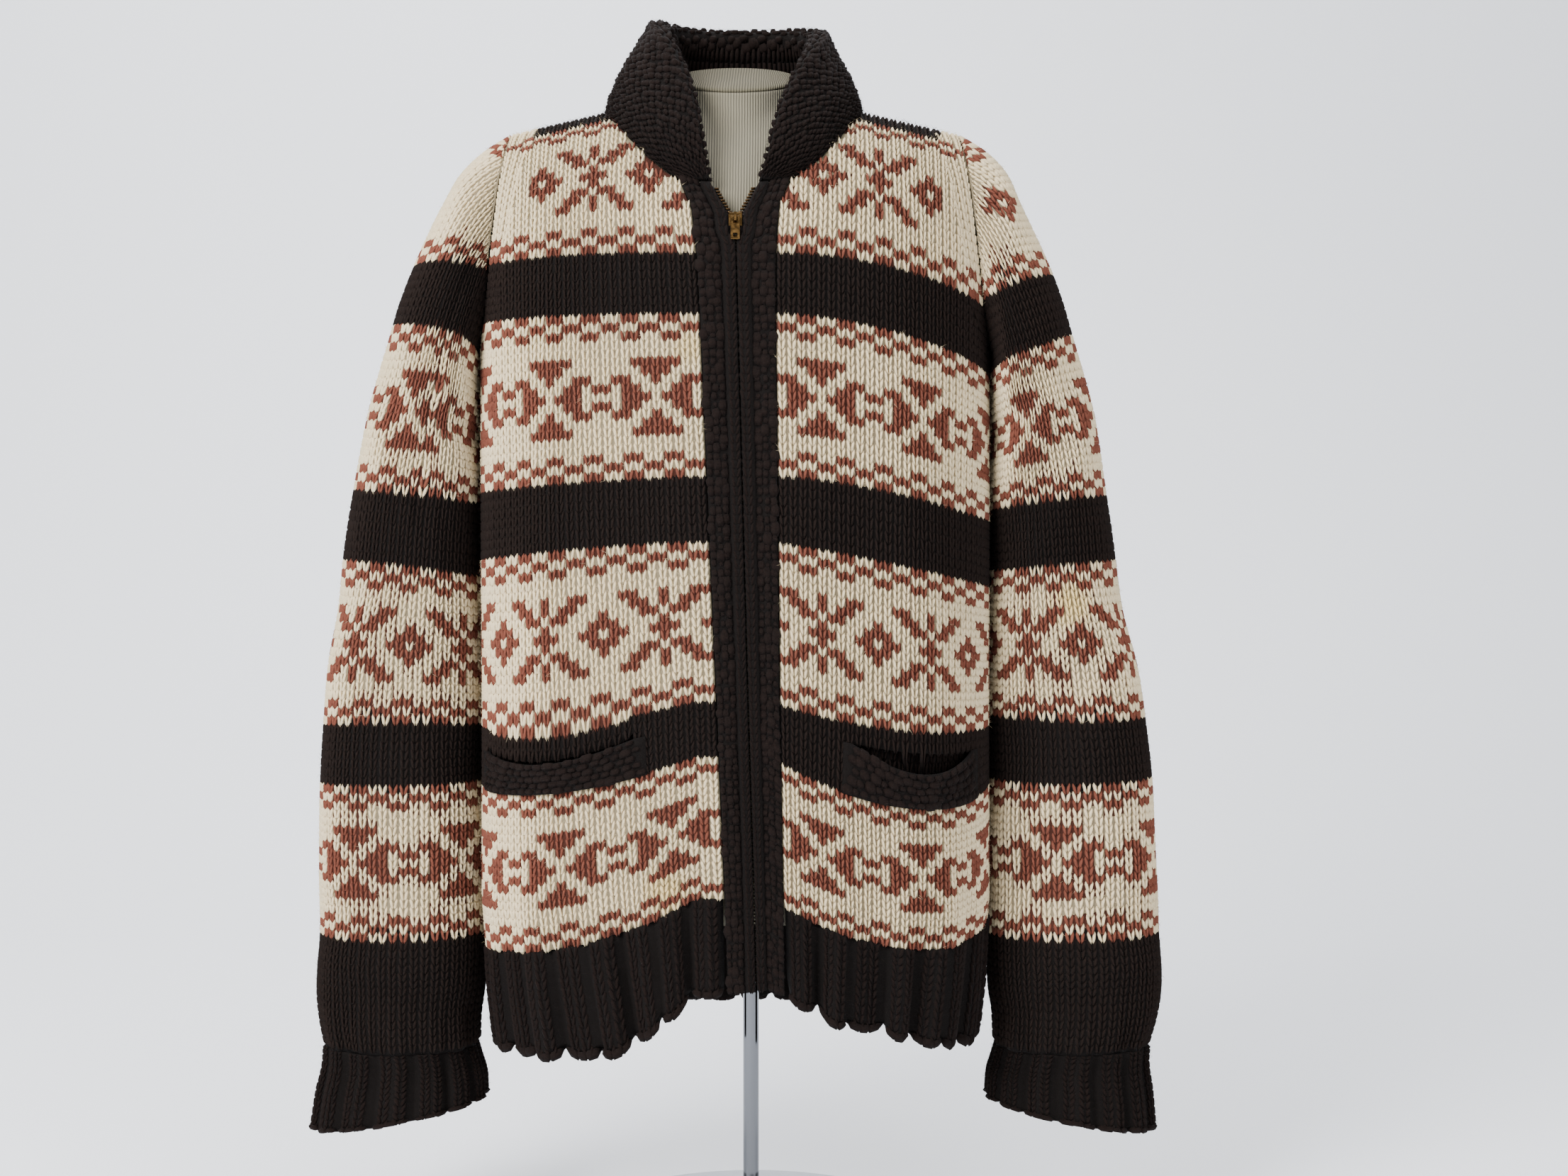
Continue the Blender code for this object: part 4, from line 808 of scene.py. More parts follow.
def yarn_at(row, column, bands, mirrored):
    """Yarn of one stitch: its row from the rib, and its column from the edge where the charts start."""
    start, kind, shift = [band for band in bands if band[0] <= max(row, 0)][-1]
    inside = int(row) - start
    if bands is BODY_BANDS and row >= YOKE_ROW + 3 and column >= YOKE_FIGURES_TO and inside < 16:
        return CREAM
    if kind == "plain":
        return BROWN
    if inside < 3 or inside >= 16:
        odd = (column // 2) % 2 == 1
        middle = inside % 3 == 1 if inside < 3 else (inside - 16) % 3 == 1
        return RUST if middle != odd else CREAM
    if inside < 5 or inside >= 14:
        return CREAM
    line = MOTIFS[kind][4 - abs(inside - 9)]
    across = (column if mirrored else 8 - column) + shift
    return RUST if line[across % len(line)] == "X" else CREAM


def sleeve_yarn(row, column, side):
    """Yarn of one stitch of a sleeve. Its cap is cream above a border but for one figure."""
    row = int(row)
    if row >= CAP_ROW:
        low, high = CAP_FIGURE_ROWS
        if not (column in CAP_FIGURE[side] and low <= row < high):
            return RUST if row >= CAP_TOP_BORDER and (column // 2 + row) % 2 else CREAM
    tucked = side < 0 and 66 <= row < 85 and column < TUCK_COLUMN
    return yarn_at(row, column + (2 if tucked else 0), SLEEVE_BANDS[side], side > 0)


# ---- meshes


def shape_arrays(mesh):
    """Points, corner indices, face sizes and corner UVs of a small bmesh, then freed."""
    mesh.verts.ensure_lookup_table()
    layer = mesh.loops.layers.uv.active
    points = np.array([v.co[:] for v in mesh.verts])
    corners = np.array([v.index for face in mesh.faces for v in face.verts])
    sizes = np.array([len(face.verts) for face in mesh.faces])
    flat = np.array([loop[layer].uv[:] for face in mesh.faces for loop in face.loops])
    mesh.free()
    return points, corners, sizes, flat


def bead(sides, scale, turn=0.0, bend=None, place=(0.0, 0.0, 0.0)):
    """A small closed bead of yarn along its own Y, stretched, turned, bent and moved."""
    mesh = bmesh.new()
    mesh.loops.layers.uv.new("yarn")
    bmesh.ops.create_uvsphere(mesh, u_segments=sides, v_segments=3, radius=1.0, calc_uvs=True)
    bmesh.ops.rotate(mesh, verts=mesh.verts, matrix=Matrix.Rotation(math.radians(-90), 3, "X"))
    apex = max((v.co for v in mesh.verts), key=lambda c: math.hypot(c.x, c.z))
    spin = math.atan2(apex.x, apex.z)
    bmesh.ops.rotate(mesh, verts=mesh.verts, matrix=Matrix.Rotation(-spin, 3, "Y"))
    bmesh.ops.scale(mesh, verts=mesh.verts, vec=scale)
    if turn:
        bmesh.ops.rotate(mesh, verts=mesh.verts, matrix=Matrix.Rotation(turn, 3, "Z"))
    for vert in mesh.verts:
        vert.co.x += bend(vert.co.y) if bend else 0.0
    bmesh.ops.translate(mesh, verts=mesh.verts, vec=place)
    return shape_arrays(mesh)


def joined(name, shape, placed, yarns, materials):
    """One mesh of many copies of a small shape, each with its points in placed and its yarn."""
    points, corners, sizes, flat = shape
    count, per = placed.shape[:2]
    mesh = bpy.data.meshes.new(name)
    mesh.vertices.add(count * per)
    mesh.vertices.foreach_set("co", placed.reshape(-1).astype(np.float32))
    every = (corners[None, :] + per * np.arange(count)[:, None]).reshape(-1)
    mesh.loops.add(len(every))
    mesh.loops.foreach_set("vertex_index", every.astype(np.int32))
    starts = np.concatenate([[0], np.cumsum(np.tile(sizes, count))[:-1]])
    mesh.polygons.add(len(starts))
    mesh.polygons.foreach_set("loop_start", starts.astype(np.int32))
    mesh.polygons.foreach_set("material_index", np.repeat(yarns, len(sizes)).astype(np.int32))
    mesh.polygons.foreach_set("use_smooth", np.ones(len(starts), bool))
    layer = mesh.uv_layers.new(name="yarn")
    layer.uv.foreach_set("vector", np.tile(flat.reshape(-1), count).astype(np.float32))
    for material in materials:
        mesh.materials.append(material)
    mesh.update(calc_edges=True)
    mesh.validate()
    return linked(name, mesh)


def leg_shapes(stitch, width):
    """The two legs of a stitch, in stitches, rows and metres out of the cloth."""
    scale = (stitch.leg_width * width / 2 * LEG_SWELL, stitch.leg_length / 2, stitch.leg_thickness)
    lean = LEG_LEAN * width
    legs = []
    for way in (-1, 1):
        bend = lambda y, way=way: way * lean * (y / stitch.leg_length + 0.5) + way * LEG_APART
        legs.append(bead(3, scale, bend=bend, place=LEG_PLACE))
    return legs


def uneven(rng, count, amount):
    """Random factors round 1."""
    return 1.0 + amount * (rng.random((count, 1)) * 2 - 1)


def knit_stitches(name, groups, materials, seed, width=1.0):
    """All stitches of a piece as one mesh. A group is a surface, its cells and their yarns."""
    rng = np.random.default_rng(seed)
    stitch = bpy.context.scene.cardigan_stitch
    placed, yarns = [], []
    legs = leg_shapes(stitch, width)
    for knit, cells, yarn in groups:
        cells = np.array(cells, float)
        count = len(cells)
        tall, wide = uneven(rng, count, stitch.uneven), uneven(rng, count, stitch.uneven)
        slip = (rng.random((count, 1)) - 0.5) * stitch.uneven
        for points, *_ in legs:
            x, y, out = points.T[:, None]
            column = cells[:, :1] + 0.5 + (x - 0.5) * wide + slip
            row = cells[:, 1:] + 0.5 + (y - 0.5) * tall
            lift = np.broadcast_to(out, column.shape) * uneven(rng, count, 2 * stitch.uneven)
            placed.append(knit.at(column, row, lift))
            yarns.append(np.array(yarn))
    return joined(name, legs[0], np.concatenate(placed), np.concatenate(yarns), materials)


def bumps(name, knit, cells, materials, seed, slant=0.0, loose=0.3):
    """Garter or moss bumps. Each cell is a column, a row, two half sizes and a rise."""
    rng = np.random.default_rng(seed)
    shape = bead(5, (1.0, 1.0, bpy.context.scene.cardigan_stitch.bump_rise), math.radians(90))
    x, y, out = shape[0].T[:, None]
    cells = np.array(cells)
    count = len(cells)
    grow = uneven(rng, count, 0.7 * loose)
    tilt = slant + loose * (rng.random((count, 1)) - 0.5)
    column = cells[:, :1] + (x + tilt * y + loose * (rng.random((count, 1)) - 0.5)) * cells[:, 2:3] * grow
    row = cells[:, 1:2] + (y - tilt * x + loose * (rng.random((count, 1)) - 0.5)) * cells[:, 3:4] * grow
    lift = (out - BUMP_SINK) * cells[:, 4:5] * uneven(rng, count, loose)
    return joined(name, shape, knit.at(column, row, lift), np.full(count, BROWN), materials)


def set_on(shape, origin, across, up, out):
    """Copies of a shape, each on its own origin and its own three ways."""
    x, y, z = (shape[0][None, :, k, None] for k in range(3))
    ways = (way[:, None] for way in (across, up, out))
    return origin[:, None] + sum(way * value for way, value in zip(ways, (x, y, z)))


def fuzz(name, groups, materials, seed, each):
    """Loose fibres of the wool standing off a piece: thin closed spikes, some to each stitch."""
    rng = np.random.default_rng(seed)
    mesh = bmesh.new()
    mesh.loops.layers.uv.new("yarn")
    size = {"segments": 3, "radius1": 1.0, "radius2": 0.0, "depth": 1.0}
    bmesh.ops.create_cone(mesh, cap_ends=True, calc_uvs=True, **size)
    bmesh.ops.translate(mesh, verts=mesh.verts, vec=(0.0, 0.0, 0.5))
    shape = shape_arrays(mesh)
    placed, yarns = [], []
    for knit, cells, yarn in groups:
        cells = np.repeat(np.array(cells, float), each, axis=0)
        count = len(cells)
        column, row = (cells[:, :1] + rng.random((count, 1)), cells[:, 1:2] + rng.random((count, 1)))
        root = knit.at(column, row, np.full((count, 1), FIBRE_ROOT))[:, 0]
        lean = (rng.random((count, 2)) - 0.5) * FIBRE_LEAN
        high = FIBRE_RISE * (0.4 + 1.1 * rng.random((count, 1)))
        tip = knit.at(column + lean[:, :1], row + lean[:, 1:], high)[:, 0]
        along = tip - root
        side_way = unit(np.cross(along, np.array([0.31, 0.22, 0.92])))
        other = unit(np.cross(along, side_way))
        placed.append(set_on(shape, root, side_way * FIBRE_RADIUS, other * FIBRE_RADIUS, along))
        yarns.append(np.repeat(np.array(yarn), each))
    return joined(name, shape, np.concatenate(placed), np.concatenate(yarns), materials)


def laid_grid(points, layer=None, keep=None):
    """A grid of faces on rows and columns of points. keep says whether a face stays."""
    rows, columns = points.shape[:2]
    mesh = bmesh.new()
    if layer:
        mesh.loops.layers.uv.new(layer)
    bmesh.ops.create_grid(mesh, x_segments=columns - 1, y_segments=rows - 1, size=1.0)
    place = lambda c: ((c.x + 1) / 2 * (columns - 1), (c.y + 1) / 2 * (rows - 1))
    if keep:
        found = [(face, place(face.calc_center_median())) for face in mesh.faces]
        gone = [face for face, (column, row) in found if not keep(face, int(column), int(row))]
        bmesh.ops.delete(mesh, geom=gone, context="FACES")
    for vert in mesh.verts:
        column, row = place(vert.co)
        vert.co = points[int(round(row)), int(round(column))]
    return mesh


def close_up(mesh, split=False):
    """Joins a grid's meeting edges and fills its ends, in triangles if split."""
    bmesh.ops.remove_doubles(mesh, verts=mesh.verts, dist=1e-6)
    rim = [edge for edge in mesh.edges if edge.is_boundary]
    bmesh.ops.holes_fill(mesh, edges=rim, sides=0)
    if split:
        bmesh.ops.triangulate(mesh, faces=[face for face in mesh.faces if len(face.verts) > 4])
    bmesh.ops.recalc_face_normals(mesh, faces=mesh.faces)


def cloth(name, surface, materials, wall, yarn=None, wrap=False, skip=None):
    """The shell under a piece's stitches. wall is its thickness and its depth."""
    points, normals = surface
    thickness, depth = wall
    points = points - normals * depth
    if wrap:
        points = np.concatenate([points, points[:, :1]], 1)

    def keep(face, column, row):
        face.smooth = True
        face.material_index = yarn(column, row) if yarn else 0
        return not (skip and skip(column, row))

    mesh = laid_grid(points, keep=keep)
    if wrap:
        bmesh.ops.remove_doubles(mesh, verts=mesh.verts, dist=1e-6)
    mesh.faces.ensure_lookup_table()
    mesh.normal_update()
    votes = 0
    for face in list(mesh.faces)[:: max(1, len(mesh.faces) // 60)]:
        middle = np.array(face.calc_center_median()[:])
        nearest = np.argmin(((points[:, : normals.shape[1]] - middle) ** 2).sum(-1))
        votes += 1 if face.normal.dot(Vector(normals.reshape(-1, 3)[nearest])) > 0 else -1
    if votes < 0:
        bmesh.ops.reverse_faces(mesh, faces=mesh.faces)
    piece = object_of(name, mesh, *materials)
    shell = piece.modifiers.new("wall", "SOLIDIFY")
    shell.thickness = thickness
    shell.offset = -1.0
    return piece


def linked(name, data):
    """A new object of this name in the scene, which stays at its origin."""
    piece = bpy.data.objects.new(name, data)
    bpy.context.scene.collection.objects.link(piece)
    return piece


def bevelled(mesh, edges, offset, segments):
    """Rounds edges of a mesh."""
    kind = {"profile": 0.5, "affect": "EDGES", "material": -1}
    bmesh.ops.bevel(mesh, geom=edges, offset=offset, segments=segments, **kind)


def object_of(name, mesh, *materials):
    """A smooth object of a bmesh, which is then freed."""
    data = bpy.data.meshes.new(name)
    for face in mesh.faces:
        face.smooth = True
    mesh.to_mesh(data)
    mesh.free()
    for material in materials:
        data.materials.append(material)
    return linked(name, data)


def all_brown(knit, cells):
    """A group of brown stitches."""
    return [(knit, cells, [BROWN] * len(cells))]


def settle(piece, slot, *nodes):
    """Puts a finished piece on the garment, in place of these frame nodes."""
    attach(piece, CLOTH_BODY)
    if nodes:
        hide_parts(*nodes)
    return piece


def lay_sheet(ground, slot, nodes, over, flat, held="hung", **more):
    """Puts a sheet's ground and what lies over it on the garment."""
    for piece in over:
        settle(piece, slot)
    settle(ground, slot, *nodes)
    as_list(over)


# ---- materials


def add(tree, kind, values=None, links=None, **settings):
    """Adds a node with its settings, input values and links."""
    node = tree.nodes.new(kind)
    for key, value in settings.items():
        setattr(node, key, value)
    for key, value in (values or {}).items():
        node.inputs[key].default_value = value
    for key, source in (links or {}).items():
        tree.links.new(source, node.inputs[key])
    return node


def ranged(tree, value, low, high, start=0.0, end=1.0):
    """A value from start to end turned into one from low to high."""
    values = {"From Min": start, "From Max": end, "To Min": low, "To Max": high}
    return add(tree, "ShaderNodeMapRange", values, {"Value": value}).outputs[0]


class Finish:
    """A new material. Each method adds a node and gives back what it puts out."""

    def __init__(self, name):
        self.material = bpy.data.materials.new(name)
        self.material.use_nodes = True
        self.tree = self.material.node_tree
        self.where = add(self.tree, "ShaderNodeTexCoord").outputs["Object"]

    def noise(self, scale, detail):
        values = {"Scale": scale, "Detail": detail}
        return add(self.tree, "ShaderNodeTexNoise", values, {"Vector": self.where}).outputs["Fac"]

    def wave(self, along, direction, values):
        node = add(self.tree, "ShaderNodeTexWave", values, {"Vector": along}, bands_direction=direction)
        return node.outputs["Fac"]

    def round_piece(self, layer):
        return add(self.tree, "ShaderNodeUVMap", uv_map=layer).outputs["UV"]

    def multiplied(self, values, links):
        node = add(self.tree, "ShaderNodeMix", values, links, data_type="RGBA", blend_type="MULTIPLY")
        return [socket for socket in node.outputs if socket.type == "RGBA"][0]

    def bump(self, strength, distance, height, under=None):
        links = {"Height": height, "Normal": under} if under else {"Height": height}
        values = {"Strength": strength, "Distance": distance}
        return add(self.tree, "ShaderNodeBump", values, links).outputs[0]

    def done(self, inputs):
        """Sets the surface's inputs, or links them, and gives back the material."""
        shader = self.tree.nodes["Principled BSDF"]
        for key, value in inputs.items():
            if isinstance(value, bpy.types.NodeSocket):
                self.tree.links.new(value, shader.inputs[key])
            else:
                shader.inputs[key].default_value = value
        return self.material


def yarn_material(name, rgb, dark, spread, stains, sheen):
    """Handspun six-ply wool: heathered fibres, a soft nap and the twist's slant."""
    wool = Finish(name)
    # Lumps of the spinning, about 9 mm long, and fibres about 0.8 mm apart.
    lumps, fibres, washes = wool.noise(110.0, 3.0), wool.noise(900.0, 2.0), wool.noise(9.0, 2.0)
    tone = add(wool.tree, "ShaderNodeMath", {1: 0.5}, {0: lumps, 2: fibres}, operation="MULTIPLY_ADD")
    shade = ranged(wool.tree, tone.outputs[0], 1.0 - spread, 1.0 + spread, 0.45, 1.05)
    wash = ranged(wool.tree, washes, 0.93, 1.05, 0.3, 0.7)
    both = add(wool.tree, "ShaderNodeMath", {}, {0: shade, 1: wash}, operation="MULTIPLY").outputs[0]
    base = (*[c * dark for c in rgb], 1.0)
    shown = wool.multiplied({"A": base, "Factor": 1.0}, {"B": both})
    for place, radius, tint in stains:
        gap = add(wool.tree, "ShaderNodeVectorMath", {1: place}, {0: wool.where}, operation="DISTANCE")
        mask = ranged(wool.tree, gap.outputs["Value"], 0.9, 0.0, radius * 0.35, radius)
        shown = wool.multiplied({"B": (*tint, 1.0)}, {"Factor": mask, "A": shown})
    # The strands' twist crosses a leg of a stitch about three times.
    slant = {"Rotation": (0.0, 0.0, math.radians(38))}
    turned = add(wool.tree, "ShaderNodeMapping", slant, {"Vector": wool.round_piece("yarn")})
    twist = wool.wave(turned.outputs[0], "Y", {"Scale": 1.3, "Distortion": 1.5, "Detail": 1.0})
    return wool.done(
        {
            "Base Color": shown,
            "Normal": wool.bump(0.55, 0.0005, fibres, wool.bump(0.35, 0.0004, twist)),
            "Roughness": 0.92,
            "Specular IOR Level": 0.16,
            "Sheen Weight": sheen,
            "Sheen Roughness": 0.55,
            "Sheen Tint": (*[min(1.0, c * 1.6 + 0.05) for c in rgb], 1.0),
        }
    )


# A wave texture of scale 1 repeats each 2 pi / 20 metres, and the ribs are 2 mm apart.
JERSEY_WAVE = 2 * math.pi / 20 / 0.0020


def jersey_material(rgb, gloss=0.5):
    """Rib jersey stretched over the form: fine upright ribs, with painted shade in their hollows and
    painted light on their crests.
    """
    jersey = Finish("stretched_rib_jersey")
    values = {"Scale": JERSEY_WAVE, "Distortion": 0.6, "Detail": 1.0}
    ribs = jersey.wave(jersey.round_piece("round"), "X", values)
    # Painted shade and light: the colour follows the ribs' wave, darker in the hollows and lighter on the
    # crests.
    shade = ranged(jersey.tree, ribs, 0.50, 1.15)
    return jersey.done(
        {
            "Base Color": jersey.multiplied({"A": (*rgb, 1.0), "Factor": 1.0}, {"B": shade}),
            "Normal": jersey.bump(0.1, 0.0005, jersey.noise(60.0, 4.0), jersey.bump(0.9, 0.0005, ribs)),
            "Roughness": 0.8,
            "Specular IOR Level": gloss,
            "Sheen Weight": 0.3 * gloss,
        }
    )


def metal_material(name, rgb, roughness, scratch, bump=0.0, wear=0.4):
    """Metal with faint wear: small scratches and dulled patches."""
    metal = Finish(name)
    patches = metal.noise(scratch, 4.0)
    dull = ranged(metal.tree, patches, roughness * (1 - wear), roughness * (1 + wear), 0.35, 0.7)
    inputs = {"Roughness": dull, "Base Color": (*rgb, 1.0), "Metallic": 1.0}
    if bump:
        inputs["Normal"] = metal.bump(bump, 0.0003, patches)
    return metal.done(inputs)


def tape_material():
    """Woven twill tape of a zip, dyed brown."""
    tape = Finish("woven_zip_tape")
    weave = tape.wave(tape.where, "DIAGONAL", {"Scale": 300.0, "Distortion": 0.3})
    base = (*linear("#241A17"), 1.0)
    return tape.done({"Normal": tape.bump(0.4, 0.0003, weave), "Base Color": base, "Roughness": 0.85})


def plain_room_material(rgb):
    """Matt painted board: even, with a faint grain."""
    board = Finish("matt_painted_room")
    grain = board.bump(0.05, 0.001, board.noise(40.0, 4.0))
    return board.done({"Normal": grain, "Base Color": (*rgb, 1.0), "Roughness": 0.9})


# Stains of the cream wool: where each is, its radius, and its tint.
STAINS = (
    ((0.2400, -0.0550, 0.4780), 0.027, (1.0, 0.86, 0.42)),
    ((-0.0500, -0.1080, 0.2800), 0.020, (1.0, 0.93, 0.70)),
    ((-0.0340, -0.1100, 0.6550), 0.014, (1.0, 0.96, 0.80)),
)
# Names of each wool for stitches, then of its ground darkened as painted shade.
WOOL_NAMES = (
    ("undyed_handspun_wool", "undyed_wool_ground_painted_shade"),
    ("rust_dyed_handspun_wool", "rust_wool_ground_painted_shade"),
    ("brown_handspun_wool", "brown_wool_ground_painted_shade"),
)
# Spread of each yarn's tones, its stains, and its sheen.
WOOL_LOOKS = ((0.12, STAINS, 0.25), (0.20, (), 0.2), (0.30, (), 0.06))


def wool(name, rgb, dark, looks):
    """The wool of this name, made the first time it is asked for."""
    return bpy.data.materials.get(name) or yarn_material(name, rgb, dark, *looks)


def wools():
    """Cream, rust and brown wool for stitches, then the same three darkened as painted shade for their
    ground.
    """
    yarns = bpy.context.scene.cardigan_yarns
    return [
        wool(names[under], rgb, dark, looks)
        for under, dark in enumerate((1.0, GROUND_PAINTED_SHADE))
        for names, rgb, looks in zip(WOOL_NAMES, (yarns.cream, yarns.rust, yarns.brown), WOOL_LOOKS)
    ]


def rib_wools():
    """The same wools, with the brown darker and warmer as painted shade for the deep hollows of ribs,
    bands and collar.
    """
    found = wools()
    rgb = [s * c for s, c in zip(RIB_PAINTED_SHADE, bpy.context.scene.cardigan_yarns.brown)]
    # Painted shade: ribs, bands and collar take this darker brown.
    found[BROWN] = wool("brown_wool_ribs_painted_shade", rgb, 1.0, (0.30, (), 0.04))
    return found


# ---- body panels


def kept_cells(side, face, angles, edge_angles):
    """Column and row of a panel's stitches, short of its neck, armhole and pocket mouth."""
    cells = []
    for row in range(int(TOP_ROW)):
        up = row - int(EDGE_ROW)
        limit = edge_angles[up : up + 2, 0].mean() if up >= 0 else 9.0
        for column, (start, end) in enumerate(zip(angles[row], angles[row][1:])):
            middle = (start + end) / 2
            if face < 0:
                past_neck = row >= NECK_ROW and middle < front_start(row + 0.5, side)
                hidden = past_neck or in_mouth(column, row, side)
            else:
                hidden = row + 0.5 > TOP_ROW - back_dip(middle, side)
            if not hidden and middle <= limit + 0.3 * (end - start):
                cells.append((column, row))
    return cells


def in_mouth(column, row, side):
    """Whether a stitch of a front lies behind its pocket's welt, under the mouth."""
    place = (column + 0.5) * PANEL_COLUMNS / FRONT_STITCHES
    return POCKET_FROM < place < POCKET_TO[side] and WELT_FOOT_ROW < row < SLIT_ROW


def mouth_rows(column, row, side):
    """Rows of a front bent round its pocket's mouth, to its lip and to its upper edge."""
    place = column * PANEL_COLUMNS / FRONT_STITCHES
    bow = mouth_bow(place, side)
    within = smooth(4.0 * bow)
    low = within * (LIP_ROW[side] - SLIT_ROW) - LIP_SAG_ROWS[side] * bow
    high = low + MOUTH_ROWS[side] * bow
    above = 1.0 - smooth((row - SLIT_ROW) / 5.0)
    below = 1.0 - smooth((SLIT_ROW - row) / 5.0)
    return row + np.where(row >= SLIT_ROW - 0.3, high * above, low * below)


def mouth_bow(place, side):
    """0 at the ends of a pocket's mouth and 1 at its middle."""
    share = (place - POCKET_FROM) / (POCKET_TO[side] - POCKET_FROM)
    return np.sin(math.pi * np.clip(share, 0.0, 1.0))


def lip_row(place, side):
    """Row of the pocket's lip at a place across the panel."""
    return LIP_ROW[side] - LIP_SAG_ROWS[side] * mouth_bow(place, side)


def back_dip(angle, side):
    """Rows by which the back's neck edge lies below the shoulder."""
    share = min(across_at(angle) / across_at(neck_angle(side)), 1.0)
    return BACK_NECK_DIP_ROWS * (1.0 - share**2.2) ** 0.62


def edge_knit(side, face):
    """The few columns that follow the side seam and the armhole up to the shoulder."""
    rows = np.arange(EDGE_ROW, TOP_ROW + 1)
    grid = []
    for row in rows:
        end = float(armhole_angle(row, side, face))
        fine = np.linspace(max(end - 0.7, 0.02), end, 141)
        run = run_lengths(body_point(row, fine, side, face))
        goal = run[-1] - STITCH * (EDGE_STITCHES - np.arange(EDGE_STITCHES + 1))
        grid.append(np.interp(goal, run, fine))
    angles = np.array(grid)
    points = body_point(rows[:, None], angles, side, face)
    return Knit(points, rows[0]).keep_side(face), angles


def panel_groups(side, face):
    """Surfaces, cells and yarns of a panel: its straight columns, and those at the armhole."""
    angles = panel_angles(side, face)
    knit = panel_knit(PANEL_ROWS[:, None], angles, side, face)
    if face < 0:
        knit.warp = lambda column, row: mouth_rows(column, row, side)
    mirrored = side > 0 or face > 0
    edge, edge_angles = edge_knit(side, face)
    cells = kept_cells(side, face, angles, edge_angles)
    yarns = [yarn_at(r, c, BODY_BANDS, mirrored) for c, r in cells]
    edge_cells = [(c, r) for r in range(int(EDGE_ROW), int(TOP_ROW)) for c in range(EDGE_STITCHES)]
    edge_yarns = []
    for column, row in edge_cells:
        angle = edge_angles[row - int(EDGE_ROW), column : column + 2].mean()
        near = int(np.interp(angle, angles[row], np.arange(angles.shape[1])))
        edge_yarns.append(yarn_at(row, near, BODY_BANDS, mirrored))
    return [(knit, cells, yarns), (edge, edge_cells, edge_yarns)]


def ground_yarn(angles, levels, straight, mirrored):
    """Gives the yarn of each face of a ground, darkened as painted shade, from the nearest straight
    column.
    """
    counts = np.arange(straight.shape[1])

    def yarn(column, row):
        angle = (angles[row][column] + angles[row][column + 1]) / 2
        near = int(np.interp(angle, straight[row], counts))
        return GROUND + yarn_at(levels[row][column] + 0.5, near, BODY_BANDS, mirrored)

    return yarn


def lay_panel(ground, nodes, over, wide):
    """Lays a front or the back, whose shaped edges take a part off its area."""
    high = TOP_ROW * ROW
    more = {"area": wide * high * PANEL_SHARE, "rests_on": ["dress_form_jersey"]}
    lay_sheet(ground, "patterned_wool", nodes, over, (wide, high), **more)


class CARDIGAN_OT_fronts(bpy.types.Operator):
    """Knits the two fronts with their colour-work and pocket mouths"""

    bl_idname = "cardigan.fronts"
    bl_label = "Fronts"

    def execute(self, context):
        materials = wools()
        rows = PANEL_ROWS[:, None]
        for side, word in SIDES:
            name = f"front_{word}"
            groups = panel_groups(side, -1)
            stitches = knit_stitches(f"{name}_stitches", groups, materials, 11 + side)
            nap = fuzz(f"{name}_fibres", groups, materials, 15 + side, 2)
            angles = even_grid(PANEL_ROWS, side, -1, FRONT_STITCHES)
            levels = mouth_rows(np.arange(FRONT_STITCHES + 1.0), rows, side)
            knit = panel_knit(levels, angles, side, -1)
            flat_rows = np.broadcast_to(rows, angles.shape)
            yarn = ground_yarn(angles, flat_rows, panel_angles(side, -1), side > 0)
            hidden = lambda column, row: in_mouth(column, row, side)
            ground = cloth(f"{name}_cloth", knit.skin, materials, PANEL_GROUND, yarn, skip=hidden)
            lay_panel(ground, [name], [stitches, nap], FRONT_STITCHES * STITCH)
        return {"FINISHED"}


class CARDIGAN_OT_back(bpy.types.Operator):
    """Knits the back in one panel"""

    bl_idname = "cardigan.back"
    bl_label = "Back"

    def execute(self, context):
        materials = wools()
        groups = panel_groups(-1, 1) + panel_groups(1, 1)
        stitches = knit_stitches("back_stitches", groups, materials, 21)
        nap = fuzz("back_fibres", [(k, c[::2], y[::2]) for k, c, y in groups], materials, 22, 1)
        straight = panel_angles(1, 1)
        above = np.maximum(PANEL_ROWS - YOKE_ROW, 0.0) / (TOP_ROW - YOKE_ROW)
        halves = []
        for side, _ in SIDES:
            grid = np.array([straight_row(row, side, 1) for row in PANEL_ROWS])
            dips = np.array([[back_dip(angle, side) for angle in line] for line in grid])
            levels = PANEL_ROWS[:, None] - dips * above[:, None]
            halves.append((*panel_knit(levels, grid, side, 1).skin, grid, levels))
        whole = [np.concatenate([left[:, ::-1], right[:, 1:]], 1) for left, right in zip(*halves)]
        yarn = ground_yarn(*whole[2:], straight, True)
        ground = cloth("back_cloth", whole[:2], materials, PANEL_GROUND, yarn)
        lay_panel(ground, ["back_panel"], [stitches, nap], 2 * (straight.shape[1] - 1) * STITCH)
        return {"FINISHED"}


# ---- ribs


def rib_cells(ribs):
    """Two columns of stitches up each rib."""
    return [(column, row) for column in range(2 * ribs) for row in range(-int(RIB_ROWS), 0)]


def cast_on_cells(ribs):
    """Round loops along a rib's lower edge, which close the end of each rib."""
    places = [2 * rib + at for rib in range(ribs) for at in (0.3, 1.0, 1.7)]
    return [(place, 0.25 - RIB_ROWS, 0.52, 0.62, 1.3) for place in places]


class RibKnit(Knit):
    """A ribbed surface whose stitch columns lie two on each rib's ridge, drawn together."""

    def at(self, column, row, lift):
        rib = np.floor(column.mean(1, keepdims=True) / 2)
        inside = (column - 2 * rib) / 2
        across = rib + 0.5 + (inside - 0.5) * RIB_KNIT_SHARE
        return super().at(across * RIB_FINE, row, lift)


def ribbed(points, fade, wrap=False):
    """A surface with its ribs raised: RIB_FINE columns to a rib, and a share of the rise by row."""
    columns = np.arange(points.shape[1]) / RIB_FINE
    rise = np.broadcast_to(rib_profile(columns % 1.0)[None, :], points.shape[:2]) * fade[:, None]
    return RibKnit(points, -RIB_ROWS, wrap=wrap, folds=rise)


